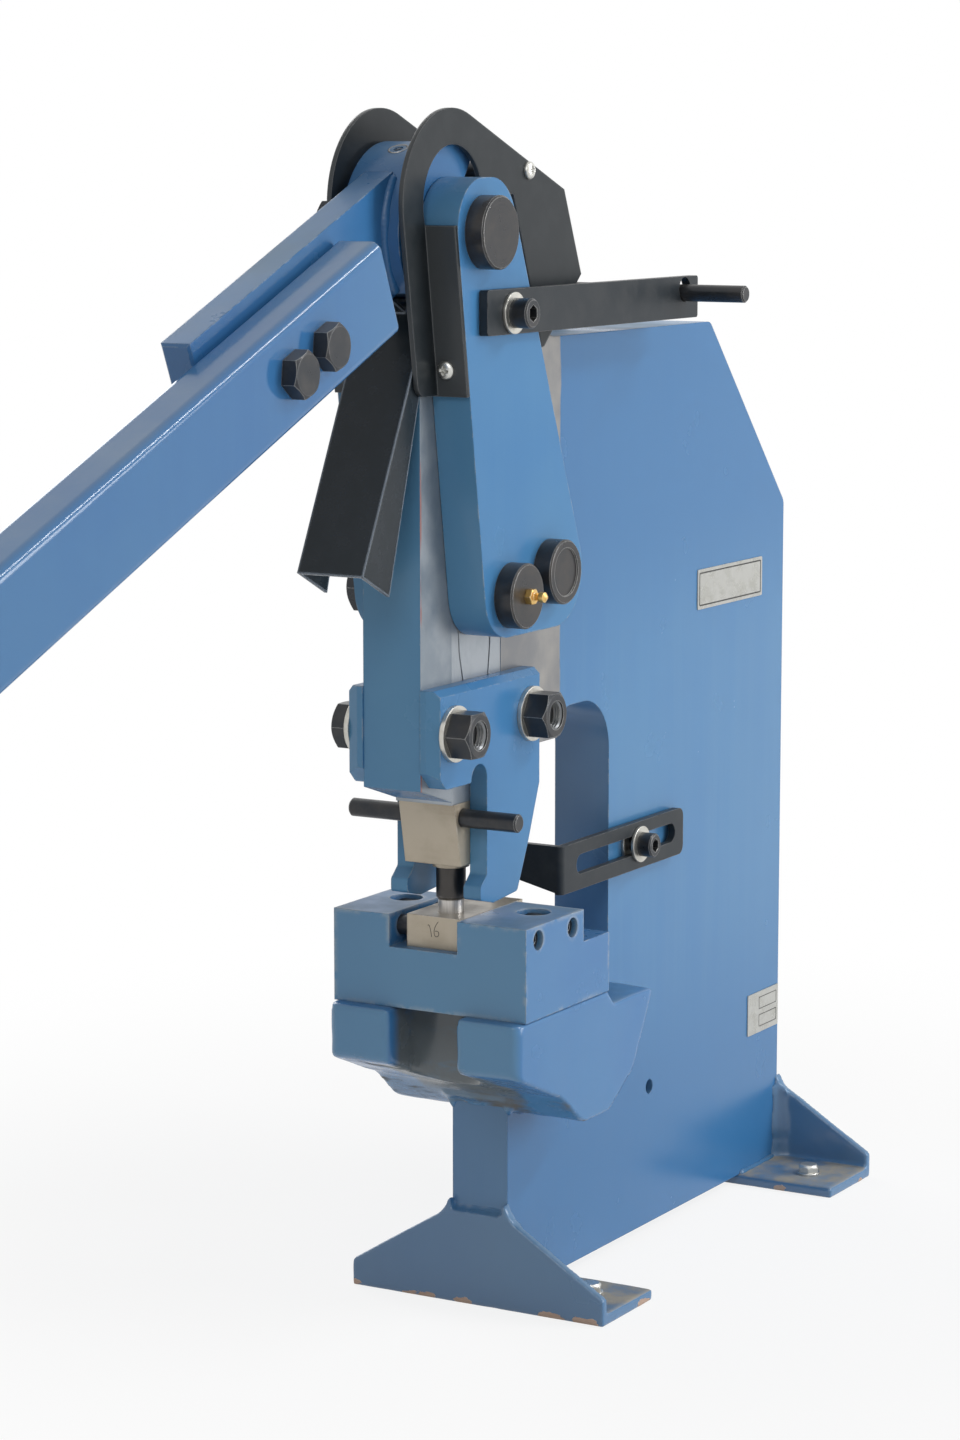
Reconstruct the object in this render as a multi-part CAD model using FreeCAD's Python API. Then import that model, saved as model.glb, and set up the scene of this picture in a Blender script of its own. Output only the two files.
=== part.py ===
import FreeCAD
import Part
import math
import os

# A bench lever punch for flat bar and plate. X runs across the machine, Y from the operator
# to the back, Z up. Everything is drawn about the punch axis, with Z = 0 on the die's top
# face, and moved at the end so that the origin lies on the floor amid the base bolts.
# Millimetres and degrees.

# Whole machine
die_top_above_floor = 262.0
half_frame = 20.0
running_gap = 0.2
side_gap = 0.3
pin_fit = 0.05
cut_over = 5.0
seam_gap = 0.05
shortest_edge = 0.0005
full_turn = 360.0
quarter_turn = 90.0
facing_down = 270.0
hexagon_sides = 6
nut_chamfer_angle = 30.0
cubic_centimetre = 1000.0

# Feet, cut from flat plate and angle
foot_half_width = 92.0
foot_plate = 6.0
foot_flange = 7.0
foot_depth = 68.0
foot_end_height = 17.0
foot_shoulder_height = 60.0
foot_shoulder_half = 22.0
foot_corner_round = 4.0
base_hole_radius = 6.0
base_hole_half_pitch = 62.0
base_hole_inset = 40.0

# Frame plate, side outline
column_front_y = 36.0
column_back_y = 431.0
back_knee_z = 221.0
frame_top_z = 351.8
top_corner_y = 312.6
top_corner_round = 8.0
throat_floor_z = -68.5
throat_back_y = 170.0
throat_top_y = 135.0
throat_top_z = 80.7
throat_round = 35.0
jaw_under_z = 97.0
jaw_front_y = 26.9
nose_low_z = 192.0
nose_front_y = 15.0
nose_slope = 5.0
head_low_z = 234.0
frame_hole_radius = 5.0
frame_hole_y = 230.6
frame_hole_z = -160.0

# Bed casting under the die holder
bed_half_width = 68.4
bed_front_y = -36.5
bed_seat_z = -58.6
bed_seat_back_y = 80.0
bed_ledge_y = 88.0
bed_back_y = 142.0
bed_front_low_z = -92.0
bed_mid_y = 20.0
bed_mid_z = -115.0
bed_deep_front_y = 48.0
bed_deep_y = 82.0
bed_deep_z = -137.0
bed_rear_low_y = 114.0
bed_rear_low_z = -118.0
bed_round = 8.0
bed_belly_round = 18.0
slug_half_width = 24.0
slug_back_y = 14.0

# Die holder, die and their screws
holder_overhang = 0.3
holder_front_y = -27.3
holder_back_y = 80.2
holder_land_back_y = 46.2
holder_step_z = -20.5
channel_left_x = -28.5
channel_right_x = 20.2
hold_down_x = 46.0
hold_down_y = 23.0
hold_down_bore_radius = 10.7
hold_down_bore_depth = 38.0
hold_down_head_radius = 9.0
hold_down_head_height = 12.0
hold_down_shank_radius = 6.0
hold_down_grip = 42.0
socket_share = 0.5
socket_depth_share = 0.55
set_screw_radius = 6.2
set_screw_inset = 4.0
set_screw_socket_depth = 5.0
set_screw_z = -9.1
set_screw_front_y = -11.8
set_screw_rear_y = 31.8
step_hole_radius = 4.0
step_hole_depth = 12.0
step_hole_x = 57.0
step_hole_y = 60.0
die_half_width = 20.0
die_front_y = -20.0
die_back_y = 55.0
die_bore_radius = 8.2
slug_hole_radius = 9.5

# Punch, its collar and holder
punch_tip_radius = 8.0
punch_shank_radius = 9.25
punch_bottom_z = -1.5
punch_shoulder_z = 8.2
punch_cone = 1.5
collar_radius = 11.5
collar_low_z = 28.9
punch_holder_low_z = 33.3
punch_holder_top_z = 73.0
punch_holder_front_low_y = -22.0
punch_holder_front_top_y = -29.6
punch_holder_back_y = 20.0
cross_rod_radius = 5.75
cross_rod_half_length = 59.6
cross_rod_y = -19.3
cross_rod_z = 63.5
rod_chamfer = 1.0

# Ram and front guide block
ram_travel = 11.2
ram_stop_gap = 1.3
ram_front_rise = 17.5
block_front_y = -70.0
block_back_y = -33.0
block_top_z = 335.0
block_low_front_z = 87.0
block_low_back_z = 75.0
block_chamfer = 3.0

# Stripper plates that close the ram's guide at both sides
stripper_thickness = 12.0
stripper_top_z = 148.5
stripper_front_y = -71.0
stripper_back_y = 55.0
stripper_chamfer = 4.0
stripper_waist_z = 76.0
stripper_hip_y = 41.0
stripper_hip_z = 41.0
toe_heel_y = 27.0
toe_heel_z = 11.5
toe_sole_y = -3.0
toe_sole_z = 9.0
toe_round = 3.0
toe_tip_y = -19.0
toe_tip_low_z = 13.0
toe_tip_top_z = 21.0
slot_back_y = -11.0
slot_low_z = 28.0
slot_front_y = -30.0
slot_round_z = 88.5
apron_low_y = -60.0
apron_low_z = 87.8
apron_front_z = 98.5
apron_round = 1.0

# Clamp bolts through the stripper plates
clamp_z = 121.0
clamp_front_y = -51.5
clamp_rear_y = 43.5
clamp_radius = 9.0
clamp_washer_radius = 17.2
clamp_washer_thickness = 3.0
clamp_nut_flats = 27.0
clamp_nut_height = 15.5
clamp_head_height = 11.5
bolt_end_share = 0.45

# Rocker plates, its three pivots and their pins
rocker_thickness = 25.7
fulcrum_y = 41.0
fulcrum_z = 211.0
ram_pivot_y = -7.0
ram_pivot_z = 201.0
lean_forward = 81.0
lean_rise = 209.0
rocker_bottom_z = 175.5
rocker_front_low_y = -34.0
rocker_rear_low_y = 100.2
rocker_top_z = 452.0
rocker_front_top_y = -74.4
rocker_rear_top_y = -10.0
rocker_front_round = 28.0
rocker_rear_round = 34.0
rocker_top_round = 30.0
pin_head_height = 12.5
pin_head_round = 1.0
fulcrum_head_radius = 20.0
fulcrum_radius = 12.5
ram_pin_head_radius = 20.0
ram_pin_radius = 10.0
top_pin_head_radius = 21.85
top_pin_radius = 12.5
dish_radius = 15.0
dish_depth = 1.2
pin_nut_flats = 30.0
pin_nut_height = 16.0
ram_pin_nut_flats = 27.0
nut_chamfer_share = 0.95
nipple_hex_flats = 9.0
nipple_hex_height = 4.5
nipple_neck_radius = 2.2
nipple_ball_radius = 3.2
nipple_length = 13.0

# Pressure link between rocker and ram
socket_y = -2.5
socket_z = 130.0
link_foot_radius = 17.0
link_eye_radius = 18.0
link_waist_half = 14.3
link_waist_share = 0.24
link_shoulder_share = 0.52
link_fit = 0.45
link_side_gap = 1.4

# Toothed drive of the lever hub on the fixed sector
tooth_module = 7.0
hub_teeth = 10
sector_teeth = 54
pressure_angle = 25.0
addendum_share = 0.8
dedendum_share = 1.0
tooth_thinning = 0.3
flank_steps = 5
hub_half_width = 19.7
hub_round_radius = 53.0
hub_round_start = 54.0
hub_round_end = 222.0
hub_tooth_first = -1
hub_tooth_last = 3
sector_rim = 32.0
sector_tongue_depth = 14.0
sector_tongue_half = 8.0
sector_front_angle = 30.8
sector_rear_angle = -3.4
sector_tooth_first = -4
sector_tooth_last = 1
sector_pin_radius = 5.0
sector_pin_angles = (24.0, 12.0, 1.5)
oil_hole_radius = 3.0
oil_hole_depth = 22.0

# Lever, given along its own direction from the top pivot
lever_angle = 23.0
lever_length = 1000.0
arm_half_thickness = 9.5
arm_start = 25.0
arm_end = 257.0
arm_low = -18.2
arm_high = 49.3
arm_edge_round = 3.0
tube_width = 31.0
tube_start = 101.0
tube_high = 39.8
tube_wall = 4.0
tube_round = 6.0
lever_bolt_near = 177.0
lever_bolt_far = 212.0
lever_bolt_across = 10.8
lever_bolt_radius = 8.0
lever_bolt_flats = 24.0
lever_bolt_head = 10.0
lever_nut_height = 13.0
cap_thickness = 5.0
cap_plug_length = 25.0

# Finger cover under the lever
cover_half_width = 22.5
cover_sheet = 2.0
cover_top_y = -65.29
cover_top_z = 374.57
cover_length = 168.0
cover_angle = 63.9
cover_side_stop = 38.0
cover_side_low = 33.3
cover_side_high = 12.0
cover_side_round = 3.0
cover_tab_half = 8.0
cover_tab_length = 34.0
cover_tab_bend = 52.0
cover_screw_shares = (0.35, 0.75)
cover_screw_radius = 2.5
cover_screw_head_radius = 4.8
cover_screw_head = 3.0
cover_screw_depth = 10.0

# Guards beside the rocker head
guard_inner_x = 23.0
guard_sheet = 3.0
guard_arch_y = -42.0
guard_arch_z = 436.0
guard_arch_radius = 56.5
guard_peak_rear_y = 96.0
guard_peak_rear_z = 443.0
guard_rear_y = 118.5
guard_rear_z = 390.0
guard_tip_y = 70.8
guard_tip_z = 347.0
guard_strip_low_y = -81.0
guard_strip_low_z = 324.0
guard_strip_round = 9.0
window_y = -40.5
window_z = 436.2
window_radius = 35.0
window_shelf_z = 441.0
window_rear_y = 32.0
window_tip_y = 67.0
window_tip_z = 348.5
guard_flange_top_z = 424.5
guard_seat_gap = 0.2
spacer_y = 50.0
spacer_z = 455.0
spacer_radius = 5.0
guard_screw_z = 340.0
guard_screw_radius = 2.5
guard_screw_head_radius = 5.5
guard_screw_head = 3.6
guard_screw_depth = 12.0
pan_rim_share = 0.35
pan_dome_height_share = 0.8
pan_dome_share = 0.75

# Stop yoke: two bars and a loose rod
bar_thickness = 5.8
bar_gap = 0.1
bar_front_y = -45.0
bar_back_y = 230.0
bar_low_z = 359.0
bar_high_z = 386.0
bar_pivot_y = -14.8
bar_pivot_z = 371.6
bar_edge_round = 2.0
bar_rear_hole_y = 211.5
bar_rear_hole_z = 377.5
bar_rear_hole_radius = 8.0
stop_rod_radius = 5.5
stop_rod_reach = 96.0
stop_rod_rest_gap = 0.3
bar_screw_radius = 6.0
bar_screw_head_radius = 9.0
bar_screw_head = 12.0
bar_washer_radius = 12.5
bar_washer_thickness = 2.0
bar_screw_depth = 20.0

# Back gauge
gauge_thickness = 5.0
gauge_inner_x = 22.2
gauge_front_y = 93.4
gauge_back_y = 264.0
gauge_low_z = -4.0
gauge_high_z = 27.5
gauge_leg_left_x = -24.0
gauge_leg_high_low_z = 8.0
gauge_bend_round = 4.0
gauge_slot_front_y = 113.0
gauge_slot_back_y = 252.0
gauge_slot_half = 6.5
gauge_end_round = 6.0
gauge_screw_y = 200.0
gauge_screw_z = 12.5
gauge_screw_radius = 5.0
gauge_screw_head_radius = 8.0
gauge_screw_head = 10.0
gauge_screw_depth = 15.0
gauge_washer_radius = 12.0
gauge_washer_thickness = 2.0
gauge_gap = 0.2

# Places worked out from the sizes above
floor_z = -die_top_above_floor
foot_front_y = column_front_y - foot_plate
foot_back_y = column_back_y + foot_plate
frame_bottom_z = floor_z + foot_flange
base_front_row_y = foot_front_y + base_hole_inset
base_rear_row_y = foot_back_y - base_hole_inset
base_centre_y = (base_front_row_y + base_rear_row_y) / 2
hub_pitch_radius = tooth_module * hub_teeth / 2
sector_pitch_radius = tooth_module * sector_teeth / 2
sector_root_radius = sector_pitch_radius - dedendum_share * tooth_module
sector_seat_radius = sector_root_radius - sector_rim
pivot_distance = hub_pitch_radius + sector_pitch_radius
lean = math.atan2(lean_forward, lean_rise)
top_pivot_y = fulcrum_y - pivot_distance * math.sin(lean)
top_pivot_z = fulcrum_z + pivot_distance * math.cos(lean)
rocker_inner_x = half_frame + side_gap
rocker_outer_x = rocker_inner_x + rocker_thickness
front_slope = (rocker_front_top_y - rocker_front_low_y) / (rocker_top_z - rocker_bottom_z)
stripper_outer_x = half_frame + stripper_thickness
holder_half_width = bed_half_width + holder_overhang
ram_rear_top_z = nose_low_z - ram_travel - ram_stop_gap
ram_front_top_z = ram_rear_top_z + ram_front_rise
bar_inner_x = rocker_outer_x + bar_gap
bar_outer_x = bar_inner_x + bar_thickness
gauge_outer_x = gauge_inner_x + gauge_thickness
tube_right_x = arm_half_thickness + tube_width
cover_low_y = cover_top_y - cover_length * math.cos(math.radians(cover_angle))
cover_low_z = cover_top_z - cover_length * math.sin(math.radians(cover_angle))
cover_side_length = cover_length - cover_side_stop
pin_end_x = rocker_outer_x + pin_nut_height
hexagon_turn = full_turn / hexagon_sides


def at(x, y, z):
    return FreeCAD.Vector(x, y, z)


def on_side(a, b):
    return at(0, a, b)


def on_front(a, b):
    return at(a, 0, b)


def on_plan(a, b):
    return at(a, b, 0)


def outline(corners, place):
    """Closed outline through corners given as (a, b, rounding radius)."""
    starts = []
    ends = []
    middles = []
    count = len(corners)
    for number in range(count):
        a, b, radius = corners[number]
        corner = place(a, b)
        before = place(*corners[number - 1][:2])
        after = place(*corners[(number + 1) % count][:2])
        back = (before - corner).normalize()
        on = (after - corner).normalize()
        half_angle = back.getAngle(on) / 2
        setback = radius / math.tan(half_angle)
        bisector = (back + on).normalize()
        starts.append(corner + back * setback)
        ends.append(corner + on * setback)
        middles.append(corner + bisector * (radius / math.sin(half_angle) - radius))
    edges = []
    for number in range(count):
        if corners[number][2] > 0:
            edges.append(Part.Arc(starts[number], middles[number], ends[number]).toShape())
        leave = ends[number]
        arrive = starts[(number + 1) % count]
        if (arrive - leave).Length > shortest_edge:
            edges.append(Part.LineSegment(leave, arrive).toShape())
    return Part.Wire(edges)


def side_plate(corners, x_from, x_to):
    face = Part.Face(outline(corners, on_side))
    face.translate(at(x_from, 0, 0))
    return face.extrude(at(x_to - x_from, 0, 0))


def front_plate(corners, y_from, y_to):
    face = Part.Face(outline(corners, on_front))
    face.translate(at(0, y_from, 0))
    return face.extrude(at(0, y_to - y_from, 0))


def plan_plate(corners, z_from, z_to):
    face = Part.Face(outline(corners, on_plan))
    face.translate(at(0, 0, z_from))
    return face.extrude(at(0, 0, z_to - z_from))


def block(x_from, x_to, y_from, y_to, z_from, z_to):
    return Part.makeBox(x_to - x_from, y_to - y_from, z_to - z_from, at(x_from, y_from, z_from))


def rod_x(radius, x_from, x_to, y, z):
    return Part.makeCylinder(radius, x_to - x_from, at(x_from, y, z), at(1, 0, 0))


def rod_z(radius, z_from, z_to, x, y):
    return Part.makeCylinder(radius, z_to - z_from, at(x, y, z_from), at(0, 0, 1))


def turned_x(profile, x_start, direction, y, z):
    """Body of revolution about a line along X; profile holds (distance, radius)."""
    points = [at(x_start + direction * distance, y, z + radius) for distance, radius in profile]
    wire = Part.makePolygon(points + [points[0]])
    return Part.Face(wire).revolve(at(x_start, y, z), at(1, 0, 0), full_turn)


def hexagon_points(flats, x, y, z, first_turn):
    corner_radius = flats / 2 / math.cos(math.radians(hexagon_turn / 2))
    points = []
    for number in range(hexagon_sides):
        turn = math.radians(hexagon_turn * number + first_turn)
        points.append(at(x, y + corner_radius * math.sin(turn), z + corner_radius * math.cos(turn)))
    return points


def hex_x(flats, x_from, x_to, y, z, outward):
    """Hexagon along X whose outer corners are turned down at thirty degrees."""
    points = hexagon_points(flats, x_from, y, z, hexagon_turn / 2)
    prism = Part.Face(Part.makePolygon(points + [points[0]])).extrude(at(x_to - x_from, 0, 0))
    height = abs(x_to - x_from)
    small = flats / 2 * nut_chamfer_share
    large = small + height / math.tan(math.radians(nut_chamfer_angle))
    outer_x = max(x_from, x_to) if outward > 0 else min(x_from, x_to)
    cone = Part.makeCone(small, large, height, at(outer_x, y, z), at(-outward, 0, 0))
    return prism.common(cone)


def cap_screw_x(x_seat, outward, y, z, head_radius, head_height, shank_radius, shank_length):
    """Socket cap screw along X, its head outward of the seat."""
    head = turned_x([(0, 0), (0, head_radius), (head_height - rod_chamfer, head_radius),
                     (head_height, head_radius - rod_chamfer), (head_height, 0)],
                    x_seat, outward, y, z)
    shank_from = min(x_seat, x_seat - outward * shank_length)
    shank = rod_x(shank_radius, shank_from, shank_from + shank_length, y, z)
    outer_x = x_seat + outward * head_height
    flats = 2 * head_radius * socket_share
    depth = head_height * socket_depth_share
    socket = hex_hole_x(flats, outer_x, outward, depth, y, z)
    return head.fuse(shank).removeSplitter().cut(socket)


def hex_hole_x(flats, x_face, outward, depth, y, z):
    points = hexagon_points(flats, x_face, y, z, 0)
    return Part.Face(Part.makePolygon(points + [points[0]])).extrude(at(-outward * depth, 0, 0))


def joined(pieces):
    whole = pieces[0]
    for piece in pieces[1:]:
        whole = whole.fuse(piece)
    return whole.removeSplitter()


def without(body, tools):
    for tool in tools:
        body = body.cut(tool)
    return body


def mirrored(shape):
    return shape.mirror(at(0, 0, 0), at(1, 0, 0))


def group(pieces):
    return Part.Compound(pieces)


def touch_point(centre, radius, outside, side):
    """Where the line from an outside point touches a circle, left (1) or right (-1) of it."""
    away_y = outside[0] - centre[0]
    away_z = outside[1] - centre[1]
    away = math.hypot(away_y, away_z)
    turn = math.atan2(away_z, away_y) + side * math.acos(radius / away)
    return (centre[0] + radius * math.cos(turn), centre[1] + radius * math.sin(turn))


# Base and frame

def make_foot(plate_y_from, plate_y_to, flange_y_from, flange_y_to, row_y):
    upright = front_plate([
        (-foot_half_width, floor_z, 0),
        (foot_half_width, floor_z, 0),
        (foot_half_width, floor_z + foot_end_height, foot_corner_round),
        (foot_shoulder_half, floor_z + foot_shoulder_height, foot_corner_round),
        (-foot_shoulder_half, floor_z + foot_shoulder_height, foot_corner_round),
        (-foot_half_width, floor_z + foot_end_height, foot_corner_round),
    ], plate_y_from, plate_y_to)
    flange = block(-foot_half_width, foot_half_width, flange_y_from, flange_y_to, floor_z, frame_bottom_z)
    foot = joined([upright, flange])
    holes = [rod_z(base_hole_radius, floor_z - cut_over, frame_bottom_z + cut_over, x, row_y)
             for x in (-base_hole_half_pitch, base_hole_half_pitch)]
    return without(foot, holes)


def make_front_foot():
    return make_foot(foot_front_y, column_front_y, column_front_y, foot_front_y + foot_depth,
                     base_front_row_y)


def make_rear_foot():
    return make_foot(column_back_y, foot_back_y, foot_back_y - foot_depth, column_back_y,
                     base_rear_row_y)


def make_frame_plate():
    body = side_plate([
        (column_front_y, frame_bottom_z, 0),
        (column_front_y, throat_floor_z, 0),
        (throat_back_y, throat_floor_z, 0),
        (throat_back_y, throat_top_z + throat_round, throat_round),
        (throat_top_y - throat_round, throat_top_z + throat_round, throat_round / 2),
        (throat_top_y - throat_round, jaw_under_z, 0),
        (jaw_front_y, jaw_under_z, 0),
        (jaw_front_y, nose_low_z, 0),
        (nose_front_y, nose_low_z + nose_slope, 0),
        (nose_front_y, head_low_z, 0),
        (block_back_y, head_low_z, 0),
        (block_back_y, frame_top_z, 0),
        (top_corner_y, frame_top_z, top_corner_round),
        (column_back_y, back_knee_z, top_corner_round),
        (column_back_y, frame_bottom_z, 0),
    ], -half_frame, half_frame)
    crown = rod_x(sector_seat_radius, -half_frame, half_frame, fulcrum_y, fulcrum_z)
    head = block(-half_frame, half_frame, block_back_y, throat_back_y, head_low_z, rocker_top_z)
    front_half = block(-half_frame, half_frame, block_back_y, fulcrum_y, head_low_z, rocker_top_z)
    body = joined([body.cut(front_half.cut(crown)), head.common(crown)])
    slot_inner = sector_seat_radius - sector_tongue_depth
    body = body.cut(ring_sector(slot_inner, sector_seat_radius + cut_over, sector_front_angle,
                                sector_rear_angle, sector_tongue_half))
    holes = [rod_x(frame_hole_radius, -half_frame - cut_over, half_frame + cut_over,
                   frame_hole_y, frame_hole_z)]
    holes.append(rod_x(fulcrum_radius + pin_fit, -half_frame - cut_over, half_frame + cut_over,
                       fulcrum_y, fulcrum_z))
    holes.append(rod_x(clamp_radius + pin_fit, -half_frame - cut_over, half_frame + cut_over,
                       clamp_rear_y, clamp_z))
    holes.append(rod_x(gauge_screw_radius + pin_fit, half_frame - gauge_screw_depth,
                       half_frame + cut_over, gauge_screw_y, gauge_screw_z))
    for pin_y, pin_z in sector_pin_places():
        holes.append(rod_x(sector_pin_radius + pin_fit, -half_frame - cut_over, half_frame + cut_over,
                           pin_y, pin_z))
    return without(body, holes)


def make_bed():
    sides = side_plate([
        (bed_front_y, bed_seat_z, 2 * pin_fit),
        (bed_front_y, bed_front_low_z, bed_round),
        (bed_mid_y, bed_mid_z, bed_belly_round),
        (bed_deep_front_y, bed_deep_z, bed_belly_round),
        (bed_deep_y, bed_deep_z, bed_belly_round),
        (bed_rear_low_y, bed_rear_low_z, bed_belly_round),
        (bed_back_y, throat_floor_z, 0),
        (bed_ledge_y, throat_floor_z, 0),
        (bed_seat_back_y, bed_seat_z, 0),
    ], -bed_half_width, bed_half_width)
    plan = plan_plate([
        (-bed_half_width, bed_front_y, bed_round),
        (-slug_half_width, bed_front_y, bed_round / 2),
        (-slug_half_width, slug_back_y, slug_half_width - pin_fit),
        (slug_half_width, slug_back_y, slug_half_width - pin_fit),
        (slug_half_width, bed_front_y, bed_round / 2),
        (bed_half_width, bed_front_y, bed_round),
        (bed_half_width, bed_back_y, 0),
        (-bed_half_width, bed_back_y, 0),
    ], bed_deep_z - cut_over, bed_seat_z + cut_over)
    column_slot = block(-half_frame, half_frame, column_front_y, bed_back_y + cut_over,
                        bed_deep_z - cut_over, throat_floor_z)
    tapped = [rod_z(hold_down_shank_radius + pin_fit, bed_seat_z - hold_down_grip,
                    bed_seat_z + cut_over, x, hold_down_y) for x in (-hold_down_x, hold_down_x)]
    return without(sides.common(plan), [column_slot] + tapped)


def make_die_holder():
    base = block(-holder_half_width, holder_half_width, holder_front_y, holder_back_y,
                 bed_seat_z, holder_step_z)
    left = block(-holder_half_width, channel_left_x, holder_front_y, holder_land_back_y,
                 holder_step_z, 0)
    right = block(channel_right_x, holder_half_width, holder_front_y, holder_land_back_y,
                  holder_step_z, 0)
    holder = joined([base, left, right])
    cuts = [rod_z(slug_hole_radius, bed_seat_z - cut_over, holder_step_z + cut_over, 0, 0)]
    for x in (-hold_down_x, hold_down_x):
        cuts.append(rod_z(hold_down_bore_radius, -hold_down_bore_depth, cut_over, x, hold_down_y))
        cuts.append(rod_z(hold_down_shank_radius + pin_fit, bed_seat_z - cut_over, 0, x, hold_down_y))
        cuts.append(rod_z(step_hole_radius, holder_step_z - step_hole_depth,
                          holder_step_z + cut_over, math.copysign(step_hole_x, x), step_hole_y))
    for y in (set_screw_front_y, set_screw_rear_y):
        cuts.append(rod_x(set_screw_radius + pin_fit, -holder_half_width - cut_over,
                          holder_half_width + cut_over, y, set_screw_z))
    return without(holder, cuts)


def make_die_holder_screws():
    screws = []
    head_low_z = -hold_down_bore_depth
    for x in (-hold_down_x, hold_down_x):
        head = rod_z(hold_down_head_radius, head_low_z, head_low_z + hold_down_head_height, x, hold_down_y)
        shank = rod_z(hold_down_shank_radius, bed_seat_z - hold_down_grip, head_low_z, x, hold_down_y)
        socket = hex_hole_x(2 * hold_down_head_radius * socket_share, 0, 1,
                            hold_down_head_height * socket_depth_share, 0, 0)
        socket.rotate(at(0, 0, 0), at(0, 1, 0), -quarter_turn)
        socket.translate(at(x, hold_down_y, head_low_z + hold_down_head_height))
        screws.append(joined([head, shank]).cut(socket))
    return group(screws)


def make_die_set_screws():
    screws = []
    end_x = holder_half_width - set_screw_inset
    for y in (set_screw_front_y, set_screw_rear_y):
        shank = rod_x(set_screw_radius, die_half_width, end_x, y, set_screw_z)
        socket = hex_hole_x(2 * set_screw_radius * socket_share, end_x, 1, set_screw_socket_depth,
                            y, set_screw_z)
        screw = shank.cut(socket)
        screws.append(screw)
        screws.append(mirrored(screw))
    return group(screws)


def make_die():
    die = block(-die_half_width, die_half_width, die_front_y, die_back_y, holder_step_z, 0)
    upper = rod_z(die_bore_radius, -die_bore_radius, cut_over, 0, 0)
    lower = rod_z(slug_hole_radius, holder_step_z - cut_over, -die_bore_radius, 0, 0)
    return without(die, [upper, lower])


def make_front_guide_block():
    body = side_plate([
        (block_front_y, block_low_front_z, 0),
        (block_back_y, block_low_back_z, 0),
        (block_back_y, block_top_z, 0),
        (block_front_y, block_top_z, block_chamfer),
    ], -half_frame, half_frame)
    hole = rod_x(clamp_radius + pin_fit, -half_frame - cut_over, half_frame + cut_over,
                 clamp_front_y, clamp_z)
    return body.cut(hole)


def make_stripper_plate():
    slot_radius = (slot_back_y - slot_front_y) / 2
    body = side_plate([
        (stripper_front_y, stripper_top_z, 0),
        (stripper_back_y, stripper_top_z, 0),
        (stripper_back_y, stripper_waist_z, stripper_chamfer),
        (stripper_hip_y, stripper_hip_z, stripper_chamfer),
        (toe_heel_y, toe_heel_z, toe_round),
        (toe_sole_y, toe_sole_z, toe_round),
        (toe_tip_y, toe_tip_low_z, toe_round),
        (toe_tip_y, toe_tip_top_z, toe_round),
        (slot_back_y, slot_low_z, toe_round),
        (slot_back_y, slot_round_z + slot_radius, slot_radius - pin_fit),
        (slot_front_y, slot_round_z + slot_radius, slot_radius - pin_fit),
        (slot_front_y, apron_low_z, apron_round),
        (apron_low_y, apron_low_z, stripper_chamfer),
        (stripper_front_y, apron_front_z, 0),
    ], half_frame, stripper_outer_x)
    top_bevel = front_bevel(stripper_outer_x, stripper_top_z, stripper_chamfer)
    holes = [rod_x(clamp_radius + pin_fit, half_frame - cut_over, stripper_outer_x + cut_over, y, clamp_z)
             for y in (clamp_front_y, clamp_rear_y)]
    front_wedge = plan_bevel(stripper_outer_x, stripper_front_y, stripper_chamfer)
    return without(body, [top_bevel, front_wedge] + holes)


def front_bevel(x, z, size):
    """Bevel tool along Y for the edge at x and z."""
    length = stripper_back_y - stripper_front_y + 2 * cut_over
    points = [at(x - size, 0, z), at(x, 0, z - size), at(x + size, 0, z + size), at(x - size, 0, z)]
    tool = Part.Face(Part.makePolygon(points)).extrude(at(0, length, 0))
    tool.translate(at(0, stripper_front_y - cut_over, 0))
    return tool


def plan_bevel(x, y, size):
    """Bevel tool along Z for the edge at x and y."""
    points = [at(x - 2 * size, y, 0), at(x, y + size, 0), at(x + size, y - size, 0),
              at(x - 2 * size, y, 0)]
    tool = Part.Face(Part.makePolygon(points)).extrude(at(0, 0, stripper_top_z))
    return tool


def make_clamp_bolts():
    """Threaded bolts with their heads at the left."""
    bolts = []
    head_seat_x = -stripper_outer_x - clamp_washer_thickness
    end_x = stripper_outer_x + clamp_washer_thickness + clamp_nut_height * bolt_end_share
    for y in (clamp_front_y, clamp_rear_y):
        head = hex_x(clamp_nut_flats, head_seat_x - clamp_head_height, head_seat_x, y, clamp_z, -1)
        shank = rod_x(clamp_radius, head_seat_x, end_x, y, clamp_z)
        bolts.append(joined([head, shank]))
    return group(bolts)


def make_clamp_nuts():
    nuts = []
    seat_x = stripper_outer_x + clamp_washer_thickness
    for y in (clamp_front_y, clamp_rear_y):
        nut = hex_x(clamp_nut_flats, seat_x, seat_x + clamp_nut_height, y, clamp_z, 1)
        nuts.append(nut.cut(rod_x(clamp_radius + pin_fit, seat_x - cut_over,
                                  seat_x + clamp_nut_height + cut_over, y, clamp_z)))
    return group(nuts)


def washer_x(radius, hole_radius, x_from, x_to, y, z):
    ring = rod_x(radius, x_from, x_to, y, z)
    return ring.cut(rod_x(hole_radius, x_from - cut_over, x_to + cut_over, y, z))


def make_clamp_washers():
    washers = []
    for y in (clamp_front_y, clamp_rear_y):
        ring = washer_x(clamp_washer_radius, clamp_radius + pin_fit, stripper_outer_x,
                        stripper_outer_x + clamp_washer_thickness, y, clamp_z)
        washers.append(ring)
        washers.append(mirrored(ring))
    return group(washers)


# Toothed drive

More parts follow.
